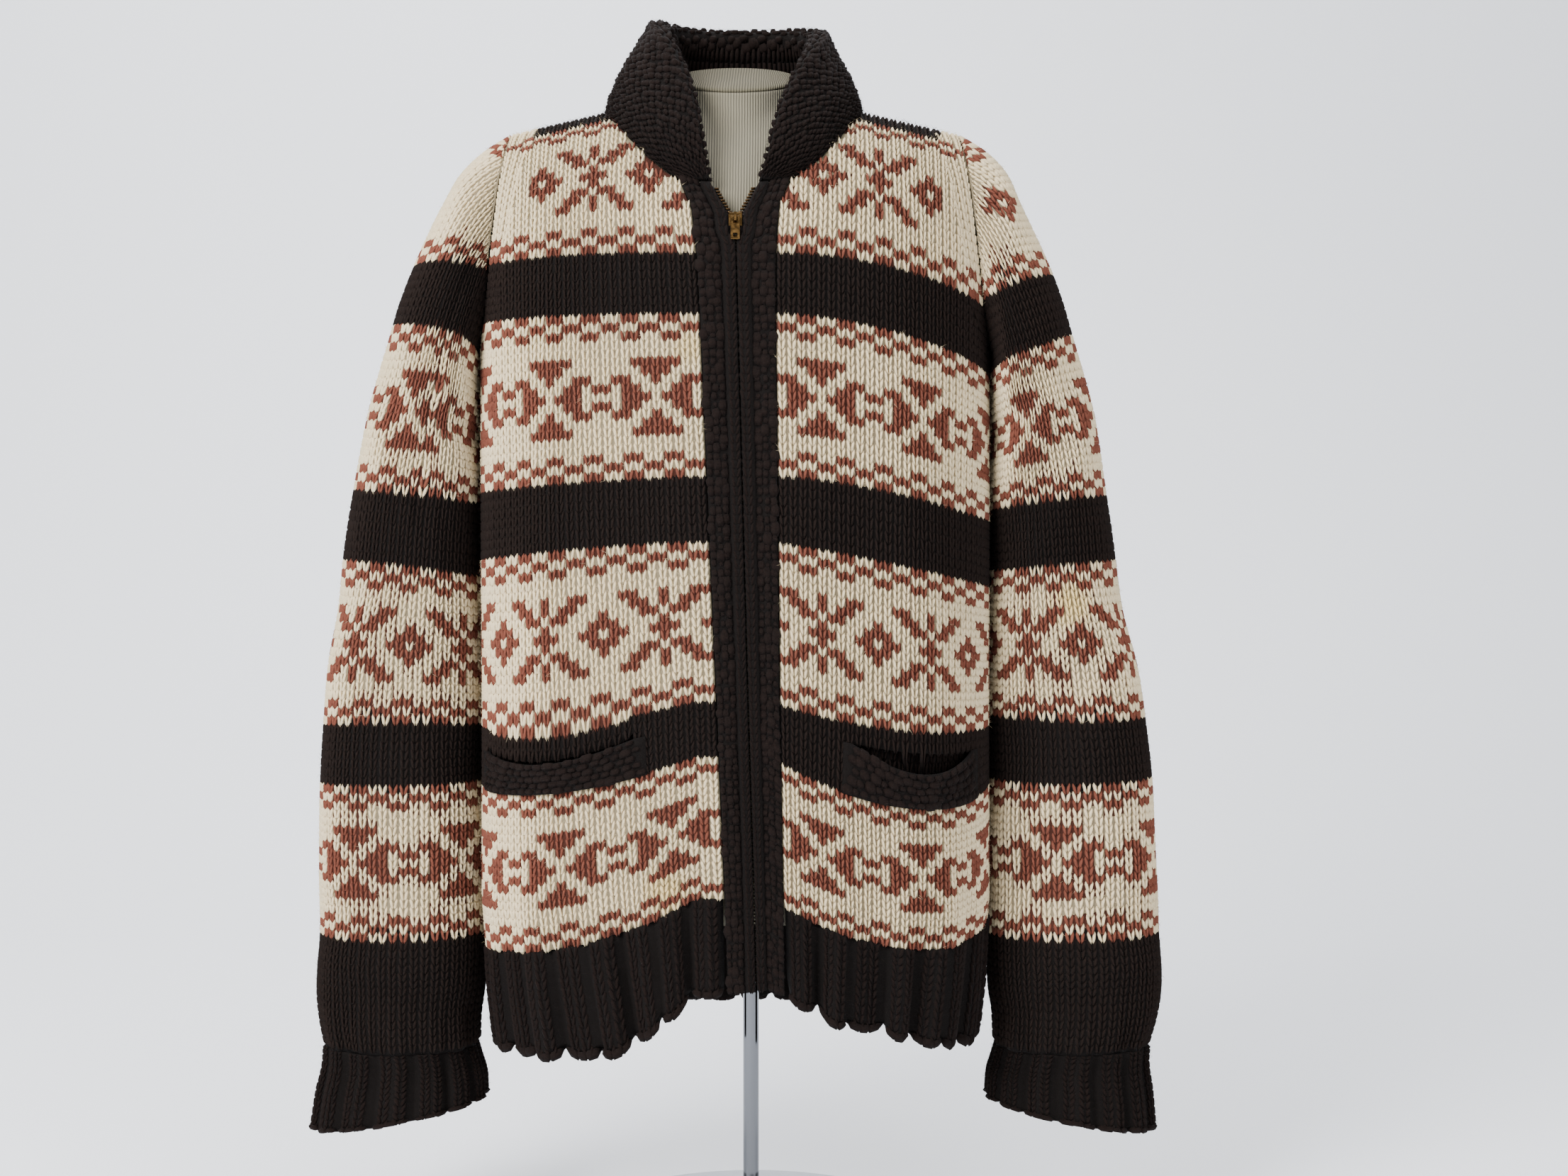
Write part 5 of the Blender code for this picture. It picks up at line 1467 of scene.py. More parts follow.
def hem_points(side, face, ribs):
    """Points of a hem rib from its lower edge up, with its waves."""
    rows = np.arange(-RIB_ROWS, 0.01, 1.0)
    count = ribs * RIB_FINE
    angles = even_grid(rows, side, face, count)
    points = body_point(rows[:, None], angles, side, face)
    shares = np.broadcast_to(np.linspace(0.0, 1.0, count + 1), angles.shape)
    knit = Knit(points, rows[0], folds=wave_at(rows[:, None], shares, face)).keep_side(face)
    # The lower edge hangs in scallops, a rib to each.
    scallop = np.sin(math.pi * (np.arange(count + 1) / RIB_FINE % 1.0)) ** 0.7
    knit.points[..., 2] -= smooth((-rows - 5.0) / 6.0)[:, None] * scallop * SCALLOP_DROP
    # It also rolls in a little, as the end of a tube does.
    knit.points[0] -= knit.normals[0] * HEM_ROLL
    return knit.points


def knit_rib(name, knit, cells, ribs, seeds, across, edge_looks=()):
    """Knits a rib with its cast-on edge, nap and ground."""
    materials = rib_wools()
    groups = all_brown(knit, cells)
    made = knit_stitches(f"{name}_stitches", groups, materials, seeds[0])
    edge = bumps(f"{name}_cast_on", knit, cast_on_cells(ribs), materials, seeds[1], *edge_looks)
    nap = fuzz(f"{name}_fibres", groups, materials, seeds[2], 3)
    ground = cloth(f"{name}_cloth", knit.skin, [materials[GROUND + BROWN]], RIB_GROUND, wrap=knit.wrap)
    lay_sheet(ground, "dark_wool", [name], [made, edge, nap], (across, RIB_ROWS * ROW), "gathered")


class CARDIGAN_OT_hem_ribs(bpy.types.Operator):
    """Knits the hem ribs of the fronts and the back"""

    bl_idname = "cardigan.hem_ribs"
    bl_label = "Hem ribs"

    def execute(self, context):
        for side, word in SIDES:
            points = hem_points(side, -1, FRONT_RIBS[side])
            self.rib(f"hem_rib_front_{word}", points, FRONT_RIBS[side], 31 + side, FRONT_STITCHES)
        left, right = (hem_points(side, 1, BACK_RIBS) for side, _ in SIDES)
        points = np.concatenate([left[:, ::-1], right[:, 1:]], 1)
        stitches = 2 * (BACK_NECK_STITCHES + BACK_SHOULDER_STITCHES)
        self.rib("hem_rib_back", points, 2 * BACK_RIBS, 35, stitches)
        return {"FINISHED"}

    def rib(self, name, points, ribs, seed, stitches):
        knit = ribbed(points, 1.05 - 0.35 * smooth((np.arange(12) - 5.0) / 6.0))
        seeds = (seed, seed + 100, seed + 200)
        knit_rib(name, knit, rib_cells(ribs), ribs, seeds, stitches * STITCH, (0.0, 0.15))


# ---- sleeves


class CARDIGAN_OT_sleeves(bpy.types.Operator):
    """Knits the two sleeves with their colour-work"""

    bl_idname = "cardigan.sleeves"
    bl_label = "Sleeves"

    def execute(self, context):
        materials = wools()
        width, length = SLEEVE_STITCHES * STITCH, SLEEVE_KNIT_ROWS * ROW
        for side, word in SIDES:
            name = f"sleeve_{word}"
            knit, places = sleeve_knit(side)
            wide = np.concatenate([places, places[:, :1]], 1)
            cells = [(column, row) for row in range(len(places) - 1) for column in range(SLEEVE_STITCHES)]
            cells = [(c, r) for c, r in cells if wide[r : r + 2, c : c + 2].max() >= 0.04]
            groups = [(knit, cells, [sleeve_yarn(r, c, side) for c, r in cells])]
            made = knit_stitches(f"{name}_stitches", groups, materials, 41 + side)
            nap = fuzz(f"{name}_fibres", groups, materials, 45 + side, 1)
            surface, under = self.ground(side, places)

            def yarn(column, row):
                # A ground face spans more than a row, and its darkest yarn, in painted shade, hides best
                # between stitches.
                high, low = under[row][column], under[row + 1][column]
                return GROUND + max(sleeve_yarn(r, column, side) for r in (high, (high + low) / 2, low))

            ground = cloth(f"{name}_cloth", surface, materials, PANEL_GROUND, yarn, wrap=True)
            nodes = [f"sleeve_upper_{word}", f"sleeve_lower_{word}"]
            area = width * length * SLEEVE_SHARE
            lay_sheet(ground, "patterned_wool", nodes, [made, nap], (width, length), area=area)
        return {"FINISHED"}

    def ground(self, side, places):
        """The ground's points from armhole to cuff and their normals, and the knitted row at each."""
        levels = np.linspace(0.0, SLEEVE_END, 70)
        degrees = sleeve_degrees(side)
        rows = np.arange(places.shape[0])
        under = np.array([np.interp(levels, column[::-1], rows[::-1]) for column in places.T]).T
        points = tube_point(SLEEVE, levels[:, None], degrees, side, armhole_edges(side))
        knit = Knit(points, wrap=True, folds=sleeve_folds(levels[:, None], degrees, under, side))
        clear_of_body(knit.points, side)
        return knit.skin, under


class CARDIGAN_OT_cuffs(bpy.types.Operator):
    """Knits the two cuff ribs"""

    bl_idname = "cardigan.cuffs"
    bl_label = "Cuffs"

    def execute(self, context):
        rows = np.arange(-RIB_ROWS, 1.01, 1.0)
        count = CUFF_RIBS * RIB_FINE
        degrees = 360.0 * np.arange(count) / count
        places = np.interp(-rows, *CUFF_PLACES)
        fade = 1.0 - 0.45 * smooth((rows + 6.0) / 7.0)
        cells = rib_cells(CUFF_RIBS) + [(column, 0) for column in range(2 * CUFF_RIBS)]
        across = 4 * CUFF_RIBS * RIB_STITCH
        for side, word in SIDES:
            points = tube_point(CUFF, places[:, None], degrees, side)
            knit = ribbed(points, fade, wrap=True)
            seeds = (51 + side, 55 + side, 58 + side)
            knit_rib(f"cuff_rib_{word}", knit, cells, CUFF_RIBS, seeds, across)
        return {"FINISHED"}


# ---- front bands and zip


def front_points(rows, offsets, side):
    """Points of the front opening's borders, at offsets from its middle line."""
    lines = [(row, front_angle(row, np.array(offsets(row)), side)) for row in rows]
    return np.array([body_point(row, angles, side, -1) for row, angles in lines])


def band_knit(side):
    """A front band's surface: one column beside the zip, and three out to the panel."""
    rows = np.linspace(-RIB_ROWS, BAND_TOP_ROW, 98)

    def offsets(row):
        near = float(lookup(BAND_EDGE, row))
        far = float(lookup(FRONT_EDGE, row)) - 2 * GAP
        return near + (far - near) * BAND_SHARES

    points = front_points(rows, offsets, side)
    folds = np.broadcast_to(BAND_RISES, points.shape[:2])
    return Knit(points, rows[0], rows[1] - rows[0], folds=folds)


class CARDIGAN_OT_bands(bpy.types.Operator):
    """Knits the garter bands down both front edges"""

    bl_idname = "cardigan.bands"
    bl_label = "Front bands"

    def execute(self, context):
        materials = rib_wools()
        braid = [(0, row) for row in np.arange(-RIB_ROWS, BAND_TOP_ROW - 0.6)]
        rows = np.arange(-RIB_ROWS + 0.4, BAND_TOP_ROW + 0.4)
        places = [(column, row) for column in range(BAND_COLUMNS - 1) for row in rows]
        knobs = [(c + 2.5, row, *BAND_KNOBS[(c + int(row + RIB_ROWS)) % 2]) for c, row in places]
        tufts = np.arange(-RIB_ROWS, BAND_TOP_ROW - 1)
        tufts = [(c + 0.5 * (c > 0), row) for c in range(BAND_COLUMNS) for row in tufts]
        flat = (BAND_COLUMNS * BAND_STITCH, (BAND_TOP_ROW + RIB_ROWS) * ROW)
        for side, word in SIDES:
            name = f"front_band_{word}"
            knit = band_knit(side)
            edge = knit_stitches(f"{name}_edge", all_brown(knit, braid), materials, 61 + side, width=1.4)
            moss = bumps(f"{name}_moss", knit, knobs, materials, 65 + side, 0.0, 0.55)
            nap = fuzz(f"{name}_fibres", all_brown(knit, tufts), materials, 68 + side, 4)
            ground = cloth(f"{name}_cloth", knit.skin, [materials[GROUND + BROWN]], BAND_GROUND)
            lay_sheet(ground, "dark_wool", [name], [edge, moss, nap], flat)
        return {"FINISHED"}


class CARDIGAN_OT_zip(bpy.types.Operator):
    """Makes the zip: tapes, teeth, and finishes for its slider and pull"""

    bl_idname = "cardigan.zip"
    bl_label = "Zip"

    def execute(self, context):
        tape = tape_material()
        brass = metal_material("cast_brass_worn", context.scene.cardigan_yarns.brass, 0.32, 400.0, 0.15)
        oxidised = metal_material("oxidised_brass_teeth", linear("#3A2B1B"), 0.42, 400.0, 0.15)
        rows = np.concatenate([np.arange(-RIB_ROWS + 0.4, 79.0, 3.0), np.linspace(80.0, 86.0, 25)])
        for side, word in SIDES:
            woven = Knit(self.beside_chain(rows, TAPE_OFFSETS, side))
            ground = cloth(f"zip_tape_{word}_weave", woven.skin, [tape], TAPE_GROUND)
            settle(ground, "zip_tape", f"zip_tape_{word}")
            teeth = self.teeth(side, word, oxidised)
            settle(teeth, "brass")
        finish_nodes({"zip_slider": brass, "zip_pull": brass})
        return {"FINISHED"}

    def beside_chain(self, rows, offsets, side):
        return front_points(rows, lambda row: [float(lookup(CHAIN_EDGE, row)) + d for d in offsets], side)

    def teeth(self, side, word, brass):
        """Brass teeth on the tape's edge, those of one side between those of the other."""
        line = self.beside_chain(np.linspace(-RIB_ROWS + 0.6, 86.0, 900), (0.0, 0.002), side)
        out = Knit(line).normals[:, 0]
        path = line[:, 0] - out * CHAIN_DEPTH
        across = unit(line[:, 1] - line[:, 0])
        run = run_lengths(path)
        places = np.arange(0.5 + (0.5 if side > 0 else 0.0), run[-1] / TOOTH_PITCH) * TOOTH_PITCH
        mesh = bmesh.new()
        bmesh.ops.create_cube(mesh, size=1.0)
        bmesh.ops.scale(mesh, verts=mesh.verts, vec=TOOTH)
        bevelled(mesh, mesh.edges, 0.0003, 1)
        bmesh.ops.translate(mesh, verts=mesh.verts, vec=(0.0012, 0.0, 0.0))
        mesh.loops.layers.uv.new("yarn")
        shape = shape_arrays(mesh)
        origin, side_way, out_way = (along_line(places, run, values) for values in (path, across, out))
        placed = set_on(shape, origin, side_way, np.cross(out_way, side_way), out_way)
        made = joined(f"zip_teeth_{word}", shape, placed, np.zeros(len(places), int), [brass])
        return recalculated(made)


def finish_nodes(finishes):
    """Gives fixed nodes of the frame their materials."""
    for node, material in finishes.items():
        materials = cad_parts[node].data.materials
        materials.clear()
        materials.append(material)


def recalculated(piece):
    """The piece with all its faces turned outward."""
    mesh = bmesh.new()
    mesh.from_mesh(piece.data)
    bmesh.ops.recalc_face_normals(mesh, faces=mesh.faces)
    mesh.to_mesh(piece.data)
    mesh.free()
    return piece


# ---- pockets


@functools.cache
def front_knit(side):
    """A front's surface, without its pocket's mouth."""
    return panel_knit(PANEL_ROWS[:, None], panel_angles(side, -1), side, -1)


def on_front(side, places, row, rise):
    """Points that stand off a front at places across its panel."""
    columns = places * FRONT_STITCHES / PANEL_COLUMNS
    return front_knit(side).at(columns, row, np.broadcast_to(rise, columns.shape))


class CARDIGAN_OT_pockets(bpy.types.Operator):
    """Knits the pockets' garter welts and their linings"""

    bl_idname = "cardigan.pockets"
    bl_label = "Pockets"

    def execute(self, context):
        materials = rib_wools()
        # The welt's and the lining's grounds take the brown darkened as painted shade.
        dark = [materials[GROUND + BROWN]]
        for side, word in SIDES:
            name = f"pocket_welt_{word}"
            knit, columns = self.welt(side)
            made = bumps(f"{name}_garter", knit, self.garter(columns), materials, 71 + side, 0.0, 0.45)
            cells = [(c, r) for c in range(columns) for r in range(WELT_RIDGES)]
            nap = fuzz(f"{name}_fibres", all_brown(knit, cells), materials, 78 + side, 6)
            ground = cloth(f"{name}_cloth", knit.skin, dark, WELT_GROUND)
            size = (columns * WELT_STITCH, WELT_RIDGES * WELT_RIDGE)
            lay_sheet(ground, "dark_wool", [name], [made, nap], size)
            name = f"pocket_lining_{word}"
            inner, cells, size = self.lining(side)
            made = knit_stitches(f"{name}_stitches", all_brown(inner, cells), materials, 75 + side)
            lining = cloth(f"{name}_cloth", inner.skin, dark, LINING_GROUND)
            lay_sheet(lining, "dark_wool", [name], [made], size)
        return {"FINISHED"}

    def garter(self, columns):
        """Bumps of the welt's ridges, which sink into the front towards both ends, the lip's first."""
        cells = []
        for ridge in range(WELT_RIDGES):
            for column in range(columns - ridge % 2):
                place = column + 0.5 + 0.5 * (ridge % 2)
                full = smooth(min(place, columns - place) / (1.2 + 0.5 * ridge))
                if full > 0.2:
                    cells.append((place, ridge + 0.55, 0.62, 0.42 + 0.18 * full, 0.5 + 1.1 * full))
        return cells

    def welt(self, side):
        """The welt's surface, from its foot to its free lip, which stands off the front."""
        first, last = POCKET_FROM - WELT_PAST_MOUTH, POCKET_TO[side] + WELT_PAST_MOUTH
        columns = int(round((last - first) * FRONT_STITCHES / PANEL_COLUMNS))
        places = np.linspace(first, last, columns + 1)
        points = []
        for level in range(WELT_RIDGES + 1):
            share = 0.05 + 0.95 * level / WELT_RIDGES
            row = WELT_FOOT + (lip_row(places, side) - WELT_FOOT) * share
            bow = mouth_bow(places, side)
            rise = 0.0008 + 0.0014 * share**2 * bow + WELT_THICK * smooth(2.5 * bow + 0.25)
            points.append(on_front(side, places, row, rise))
        return Knit(np.array(points)), columns

    def lining(self, side):
        """The lining's surface behind the mouth, its stitches that show, and its flat size."""
        wide = FRONT_STITCHES / PANEL_COLUMNS
        first, last = int((POCKET_FROM - 1) * wide), int((POCKET_TO[side] + 1) * wide)
        columns = np.arange(first, last + 1)
        rows = np.arange(5.0, 28.0)
        across = np.sin(math.pi * (columns - first) / (last - first)) ** 0.6
        points = []
        for row in rows:
            down = smooth((27.0 - row) / 11.0) * smooth((row - 4.9) / 4.0)
            depth = WALL + 0.0007 + LINING_DEPTH * down * across
            points.append(on_front(side, columns / wide, np.full(len(columns), row), -depth))
        knit = Knit(np.array(points), rows[0])
        cells = [(c, r) for r in range(16, 27) for c in range(len(columns) - 1)]
        return knit, cells, ((last - first) * STITCH, 22 * ROW)


# ---- collar


def neck_line():
    """Points of the neck edge, from the left band to the right band, with two ways at each."""
    runs = {}
    rows = np.linspace(COLLAR_ROW, TOP_ROW, 19)
    steps = ((0.0, 0.0), (0.0, 0.01), (0.3, 0.0), (-0.3, 0.0))
    for side in (-1, 1):
        start = front_start(rows, side)
        here, inside, above, below = (body_point(rows + up, start + off, side, -1) for up, off in steps)
        way = unit(np.cross(inside - here, above - below))
        way *= np.where(way[:, 1:2] < 0, 1.0, -1.0)
        runs[side] = [(p, p - q, w) for p, q, w in zip(here, inside, way)]
    nape = []
    for angle in np.linspace(-neck_angle(-1), neck_angle(1), 27)[1:-1]:
        side = -1 if angle < 0 else 1
        angle = abs(angle)
        top = TOP_ROW - back_dip(angle, side)
        here, under = body_point(top, angle, side, 1), body_point(top - 1.5, angle, side, 1)
        beside = body_point(top, angle + 0.02, side, 1) - here
        way = unit(np.cross(beside, here - under))
        nape.append((here, here - under, way if way[2] > 0 else -way))
    corners = runs[-1] + nape + runs[1][::-1]
    squared = []
    for i, (point, off, way) in enumerate(corners):
        along = corners[min(i + 1, len(corners) - 1)][0] - corners[max(i - 1, 0)][0]
        square = unit(np.cross(along, way))
        squared.append((point, square if square.dot(off) > 0 else -square, way))
    return squared


def collar_surfaces(levels=22):
    """The collar's middle surface with its thickness: outer points, inner points and the way out."""
    edge = neck_line()
    run = run_lengths(np.array([e[0] for e in edge]))
    place = 2.0 * run / run[-1]
    columns = []
    for (point, off, way), at in zip(edge, place):
        side = -1 if at <= 1.0 else 1
        at = at if side < 0 else 2.0 - at
        kept = (0, 2, 3) if side < 0 else (1, 2, 4)
        x, y, z = (np.interp(at, COLLAR_PLACES, [row[k] for row in COLLAR_EDGE]) for k in kept)
        bulge = np.interp(at, COLLAR_PLACES, COLLAR_BULGE)
        base = point + off * COLLAR_GAP - way * WALL / 2
        free = np.array([CENTRE_X + side * x, y, z])
        if at < 0.001:
            tip = body_point(COLLAR_ROW, front_angle(COLLAR_ROW, COLLAR_TIP, side), side, -1)
            free = tip + off * COLLAR_GAP - way * WALL / 2 + np.array([0, 0, COLLAR_GAP])
            base = base + np.array([0, 0, COLLAR_GAP])
        away = np.array([base[0] - CENTRE_X, base[1], 0.0])
        columns.append((base, free, bulge, unit(away)))
    base, free, bulge, away = (np.array([c[k] for c in columns]) for k in range(4))
    for _ in range(6):
        for values in (base, free, away):
            values[1:-1] = (values[:-2] + 2 * values[1:-1] + values[2:]) / 4
    share = np.linspace(0.0, 1.0, levels + 1)[:, None, None]
    grid = base * (1 - share) + free * share + away * (bulge[:, None] * np.sin(math.pi * share))
    way = outward(grid)
    way *= np.where((way * away).sum(-1, keepdims=True) < 0, -1.0, 1.0)
    up = share[..., 0]
    half = 0.5 * (WALL + (COLLAR_WALL - WALL) * smooth(3.0 * up)) + 0.0012 * up**3
    swell = np.interp(np.minimum(place, 2.0 - place), *RIM_SWELL)
    outer = half + swell * np.maximum(up - 0.35, 0.0) / 0.65
    return grid, way, half, outer


class CARDIGAN_OT_collar(bpy.types.Operator):
    """Knits the standing shawl collar, moss outside and ribbed inside"""

    bl_idname = "cardigan.collar"
    bl_label = "Collar"

    def execute(self, context):
        materials = rib_wools()
        grid, skin, levels = self.skin()
        ring = skin.points - skin.normals * COLLAR_GROUND_DEPTH
        shell = laid_grid(np.concatenate([ring, ring[:1]]))
        close_up(shell, split=True)
        ground = object_of("collar_cloth", shell, materials[GROUND + BROWN])
        rounded = skin.points.shape[0] - levels
        moss = bumps("collar_moss", skin, self.moss_cells(skin, rounded), materials, 81, 0.3, 0.4)
        ribs = bumps("collar_inner_ribs", skin, self.rib_cells(skin, rounded), materials, 82, 0.0, 0.1)
        cells = [(c, r) for c in range(skin.points.shape[1] - 1) for r in range(rounded + 4)]
        nap = fuzz("collar_fibres", all_brown(skin, cells), materials, 83, 4)
        tall = np.linalg.norm(np.diff(grid, axis=0), axis=-1).sum(0).mean()
        across = np.linalg.norm(np.diff(grid, axis=1), axis=-1).sum(1).mean()
        over, flat = [moss, ribs, nap], (across, tall + 0.015)
        lay_sheet(ground, "dark_wool", ["collar"], over, flat, "folded", rests_on=["dress_form_jersey"])
        return {"FINISHED"}

    def skin(self):
        """The collar's middle surface, its skin over the rim from foot to foot, and its levels."""
        grid, way, half, outer = collar_surfaces()
        columns = grid.shape[1]
        levels = len(grid) - 2
        upward = unit(grid[-1] - grid[-2])
        reach = ((half[-1] + outer[-1]) / 2)[:, None]
        top = grid[-1] + way[-1] * ((outer[-1] - half[-1]) / 2)[:, None] - upward * reach * 0.8
        section = [g + w * h[:, None] for g, w, h in zip(grid[:-2], way[:-2], outer[:-2])]
        for turn in np.linspace(0.0, math.pi, 9)[1:-1]:
            section.append(top + way[-1] * reach * math.cos(turn) + upward * reach * math.sin(turn))
        section += [g - w * h for g, w, h in zip(grid[-3::-1], way[-3::-1], half[-3::-1, :, None])]
        return grid, Knit(np.array(section), facing=grid[levels // 2, columns // 2]), levels

    def moss_cells(self, skin, rounded):
        """Knobs in slanting rows over the outside and the rim, which rise away from the nape."""
        cells = []
        middle = skin.points.shape[1] // 2
        climb = run_lengths(skin.points[: rounded + 1, middle])
        steps = int(climb[-1] / MOSS_RISE)
        for i in range(steps):
            row = np.interp((i + 0.5) / steps * climb[-1], climb, np.arange(len(climb)))
            tall = 0.60 * len(climb) / steps
            line = skin.points[int(round(row))]
            run = run_lengths(line)
            centre = run[middle]
            wide = 0.50 * MOSS_PITCH * (len(run) - 1) / run[-1]
            for way, reach in ((-1, centre), (1, run[-1] - centre)):
                count = int(reach / MOSS_PITCH) + 1
                for j in range(count):
                    off = (j + 0.5 + (0.36 * i) % 1.0 - 0.5) * MOSS_PITCH
                    column = np.interp(centre + way * off, run, np.arange(len(run)))
                    shift = 0.5 * (j % 2) * len(climb) / steps
                    if off <= reach - 0.15 * MOSS_PITCH:
                        cells.append((column, row + shift, wide, tall, 1.45))
        return cells

    def rib_cells(self, skin, rounded):
        """Upright ribs about 4 mm apart inside the collar."""
        rows, columns = skin.points.shape[:2]
        middle = (rounded + rows) // 2
        count = int(run_lengths(skin.points[middle])[-1] / COLLAR_RIB_PITCH)
        tall = (rows - 1 - rounded) / 9
        across = [(j + 0.5) / count * (columns - 1) for j in range(count)]
        size = (0.40 * columns / count, 0.85 * tall, 1.1)
        return [(column, rounded + (i + 0.5) * tall, *size) for column in across for i in range(9)]


# ---- dress form and stand


def form_top(x, y):
    """Height of the form's shoulders over a point of its plan."""
    past = np.maximum(0.0, np.abs(x) - FORM_SHOULDER_X) / (FORM_SECTIONS[-1][1] - FORM_SHOULDER_X)
    high = ridge_z(x) - WALL - FORM_CLEAR
    high = high - (high - FORM_BEND_Z) * (1.0 - (1.0 - np.minimum(past, 1.0) ** 2.4) ** (1 / 2.4))
    full = np.where(y < 0, FORM_SECTIONS[-1][2], FORM_SECTIONS[-1][3])
    reach = np.minimum(np.abs(x) / FORM_SECTIONS[-1][1], 1.0)
    width = (1.0 - reach**SECTION_POWER) ** (1 / SECTION_POWER)
    ratio = np.minimum(np.abs(y) / np.maximum(full * width, 1e-6), 1.0)
    return FORM_BEND_Z + (high - FORM_BEND_Z) * (1.0 - ratio**BEND_POWER) ** (1 / BEND_POWER)


def form_ring(half, front, rear, height=None, shrink=1.0):
    """A ring of the form at a height, or else on its shoulders."""
    x = half * shrink * spow(np.sin(FORM_ANGLES), 2 / SECTION_POWER)
    y = spow(-np.cos(FORM_ANGLES), 2 / SECTION_POWER)
    y = y * np.where(y < 0, front, rear) * shrink
    z = form_top(x, y) if height is None else np.full(x.shape, height)
    return np.stack([x, y, z], -1)


def neck_rings(base):
    """Rings of the neck, from its foot's heights up to its slanting top."""
    rings = []
    x = NECK_HALF_WIDTH * np.sin(FORM_ANGLES)
    y = NECK_Y - NECK_HALF_DEPTH * np.cos(FORM_ANGLES)
    top = NECK_TOP_Z + NECK_TOP_TILT * y
    low = 0.45 * base[:, 2] + 0.55 * NECK_FOOT_Z
    for share in np.linspace(0.0, 1.0, 12):
        flare = 1.0 + 0.10 * (1.0 - share) ** 2
        rings.append(np.stack([x * flare, NECK_Y + (y - NECK_Y) * flare, low + (top - low) * share], -1))
    return rings


def jersey_run(x):
    """Distance round the neck to a point this far from its middle, and straight on past it."""
    round_part = np.arcsin(np.clip(x / NECK_HALF_WIDTH, -1.0, 1.0)) * NECK_HALF_WIDTH
    return round_part + x - np.clip(x, -NECK_HALF_WIDTH, NECK_HALF_WIDTH)


def lofted(name, rings, material, soften=(0.0, 0.0)):
    """A closed skin through rings, with a UV map in metres across its ribs.

    Between the two heights of soften its corners are drawn round, as stretched jersey bridges them.
    """
    points = np.array(rings)
    mesh = laid_grid(np.concatenate([points, points[:, :1]], 1), layer="round")
    close_up(mesh)
    bridged = [vert for vert in mesh.verts if soften[0] < vert.co.z < soften[1]]
    ways = {f"use_axis_{axis}": True for axis in "xyz"}
    for _ in range(14):
        bmesh.ops.smooth_vert(mesh, verts=bridged, factor=0.5, **ways)
    layer = mesh.loops.layers.uv.active
    for face in mesh.faces:
        for loop in face.loops:
            loop[layer].uv = (float(jersey_run(loop.vert.co.x)), loop.vert.co.z)
    bmesh.ops.translate(mesh, verts=mesh.verts, vec=(CENTRE_X, 0.0, 0.0))
    return object_of(name, mesh, material)


class CARDIGAN_OT_form(bpy.types.Operator):
    """Makes the dress form's jersey cover and its neck cap"""

    bl_idname = "cardigan.form"
    bl_label = "Dress form"

    def execute(self, context):
        rgb = context.scene.cardigan_yarns.jersey
        jersey = jersey_material(rgb)
        known = [row[0] for row in FORM_SECTIONS]
        heights = np.unique(np.concatenate([known, np.linspace(0.262, 0.640, 26)]))
        rings = [form_ring(*(lookup(FORM_SECTIONS, z, k) for k in (1, 2, 3)), z) for z in heights]
        rings += [form_ring(*FORM_SECTIONS[-1][1:], None, shrink) for shrink in SHOULDER_SHRINKS]
        rings += neck_rings(rings[-1])
        settle(lofted("dress_form_jersey", rings, jersey, soften=NECK_SOFT), "jersey", "dress_form")
        top = rings[-1]
        rise = unit(np.array([0.0, -NECK_TOP_TILT, 1.0]))
        middle = top.mean(0)
        cap = [middle + (top - middle) * shrink + rise * lift for lift, shrink in CAP_SECTION]
        # The cap takes the same jersey, darkened as painted shade, and less gloss.
        shade = jersey_material([CAP_PAINTED_SHADE * c for c in rgb], CAP_GLOSS)
        settle(lofted("neck_cap_jersey", cap, shade), "jersey", "neck_cap")
        return {"FINISHED"}


class CARDIGAN_OT_stand(bpy.types.Operator):
    """Finishes the stand's pole and base plate"""

    bl_idname = "cardigan.stand"
    bl_label = "Stand"

    def execute(self, context):
        chrome = metal_material("polished_chrome_tube", linear("#6A6C70"), 0.06, 60.0)
        steel = metal_material("satin_steel_plate", linear("#A9ABAE"), 0.42, 60.0, 0.0, 0.08)
        finish_nodes({"stand_pole": chrome, "stand_base": steel})
        return {"FINISHED"}


# ---- stage


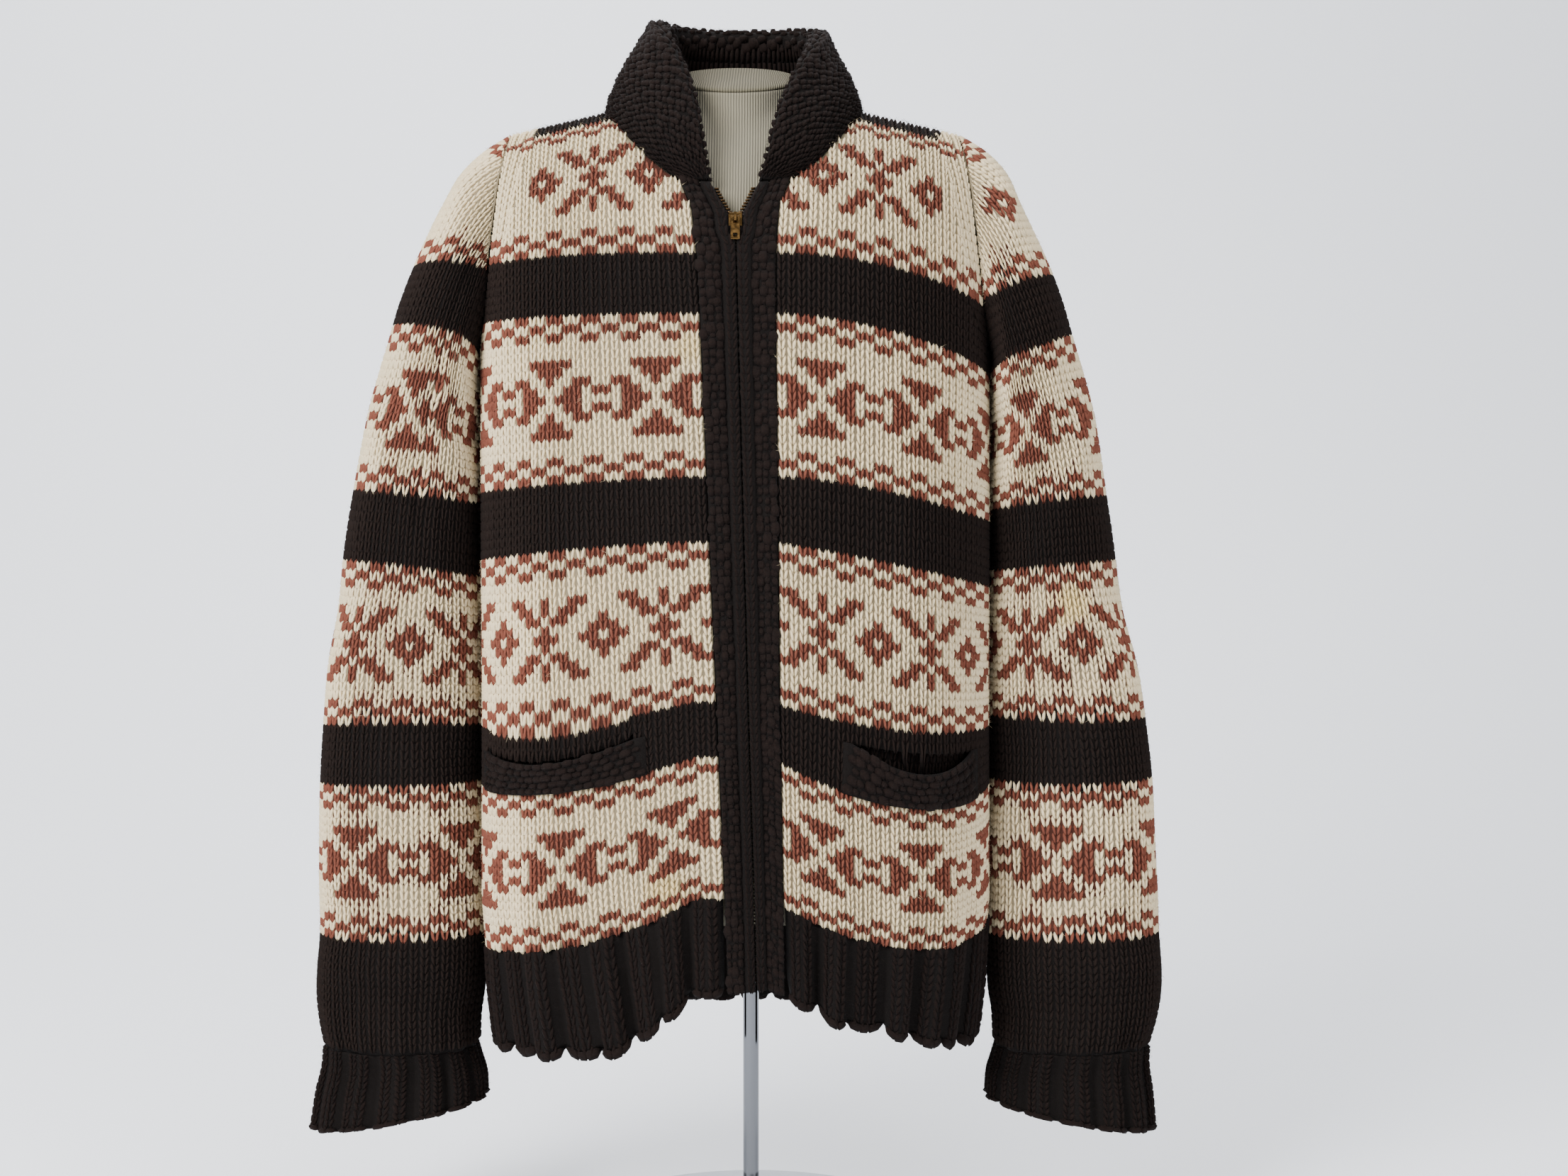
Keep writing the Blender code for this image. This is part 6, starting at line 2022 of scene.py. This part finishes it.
class CARDIGAN_OT_stage(bpy.types.Operator):
    """Sets up the plain room, its soft lights and the camera"""

    bl_idname = "cardigan.stage"
    bl_label = "Room, lights and camera"

    def execute(self, context):
        settings = context.scene.cardigan_stage
        mesh = bmesh.new()
        bmesh.ops.create_grid(mesh, x_segments=1, y_segments=1, size=1.0)
        bmesh.ops.scale(mesh, verts=mesh.verts, vec=(8.0, 3.0, 1.0))
        bmesh.ops.translate(mesh, verts=mesh.verts, vec=(0.0, -0.4, -0.0005))
        back = [e for e in mesh.edges if all(v.co.y > 0.5 for v in e.verts)]
        risen = bmesh.ops.extrude_edge_only(mesh, edges=back)["geom"]
        verts = [g for g in risen if isinstance(g, bmesh.types.BMVert)]
        bmesh.ops.translate(mesh, verts=verts, vec=(0.0, 0.0, 4.0))
        corner = [e for e in mesh.edges if all(abs(v.co.z) < 0.01 and v.co.y > 0.5 for v in e.verts)]
        bevelled(mesh, corner, 1.4, 20)
        bmesh.ops.recalc_face_normals(mesh, faces=mesh.faces)
        object_of("room", mesh, plain_room_material(settings.wall))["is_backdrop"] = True
        middle, wall = (0.0, 0.0, 0.5), (-0.6, 2.6, 0.9)
        for name, place, goal, size, power in (
            ("key_light", (-1.6, -2.1, 1.9), middle, 1.6, settings.key_power),
            ("fill_light", (1.6, -2.0, 1.2), middle, 1.8, settings.fill_power),
            ("top_light", (0.2, 0.1, 2.6), middle, 1.6, settings.fill_power * 0.7),
            ("wall_light", (-0.6, 0.9, 2.5), wall, 1.6, settings.fill_power * 1.3),
        ):
            light = bpy.data.lights.new(name, "AREA")
            light.shape, light.size, light.energy = "DISK", size, power
            lamp = linked(name, light)
            lamp.location = place
            aim = Vector(goal) - Vector(place)
            lamp.rotation_euler = aim.to_track_quat("-Z", "Y").to_euler()
        world = bpy.data.worlds.new("even_room_light")
        world.use_nodes = True
        tree = world.node_tree
        around = add(tree, "ShaderNodeTexCoord").outputs["Generated"]
        way = add(tree, "ShaderNodeSeparateXYZ", {}, {0: around})
        # The unlit end of the room, behind the viewer, which bright metal mirrors.
        dim = ranged(tree, way.outputs["Y"], 0.16, 1.26, -0.95, -0.55)
        shade = tree.nodes["Background"]
        shade.inputs["Color"].default_value = (0.94, 0.96, 1.0, 1.0)
        tree.links.new(dim, shade.inputs["Strength"])
        context.scene.world = world
        view = bpy.data.cameras.new("camera")
        view.lens, view.sensor_width = settings.lens, 36.0
        camera = linked("camera", view)
        camera.location = (0.0315, -1.681, 0.556)
        camera.rotation_euler = (math.radians(90 - 2.4), 0.0, 0.0)
        context.scene.camera = camera
        return {"FINISHED"}


# ---- panel and registration


class CARDIGAN_PT_pieces(bpy.types.Panel):
    """Lists the pieces and their sizes"""

    bl_idname = "CARDIGAN_PT_pieces"
    bl_label = "Cowichan cardigan"
    bl_space_type = "VIEW_3D"
    bl_region_type = "UI"
    bl_category = "Cardigan"

    def draw(self, context):
        layout = self.layout
        for name in GROUPS:
            group = getattr(context.scene, name)
            box = layout.box()
            for key in group.__annotations__:
                box.prop(group, key)
        for operator in OPERATORS:
            layout.operator(operator.bl_idname)


OPERATORS = (
    CARDIGAN_OT_stage, CARDIGAN_OT_form, CARDIGAN_OT_stand, CARDIGAN_OT_fronts, CARDIGAN_OT_back,
    CARDIGAN_OT_hem_ribs, CARDIGAN_OT_sleeves, CARDIGAN_OT_cuffs, CARDIGAN_OT_bands, CARDIGAN_OT_zip,
    CARDIGAN_OT_pockets, CARDIGAN_OT_collar,
)
GROUPS = {
    "cardigan_yarns": CardiganYarns, "cardigan_stitch": CardiganStitch, "cardigan_stage": CardiganStage,
}
CLASSES = (*GROUPS.values(), *OPERATORS, CARDIGAN_PT_pieces)


def register():
    for item in CLASSES:
        bpy.utils.register_class(item)
    for name, group in GROUPS.items():
        setattr(bpy.types.Scene, name, PointerProperty(type=group))


def unregister():
    for name in GROUPS:
        delattr(bpy.types.Scene, name)
    for item in reversed(CLASSES):
        bpy.utils.unregister_class(item)


def main():
    register()
    for operator in OPERATORS:
        group, name = operator.bl_idname.split(".")
        getattr(getattr(bpy.ops, group), name)()
    for key, box in (("cad", CAD_BOX), ("visual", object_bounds())):
        [list(corner) for corner in box]


if __name__ == "__main__":
    main()
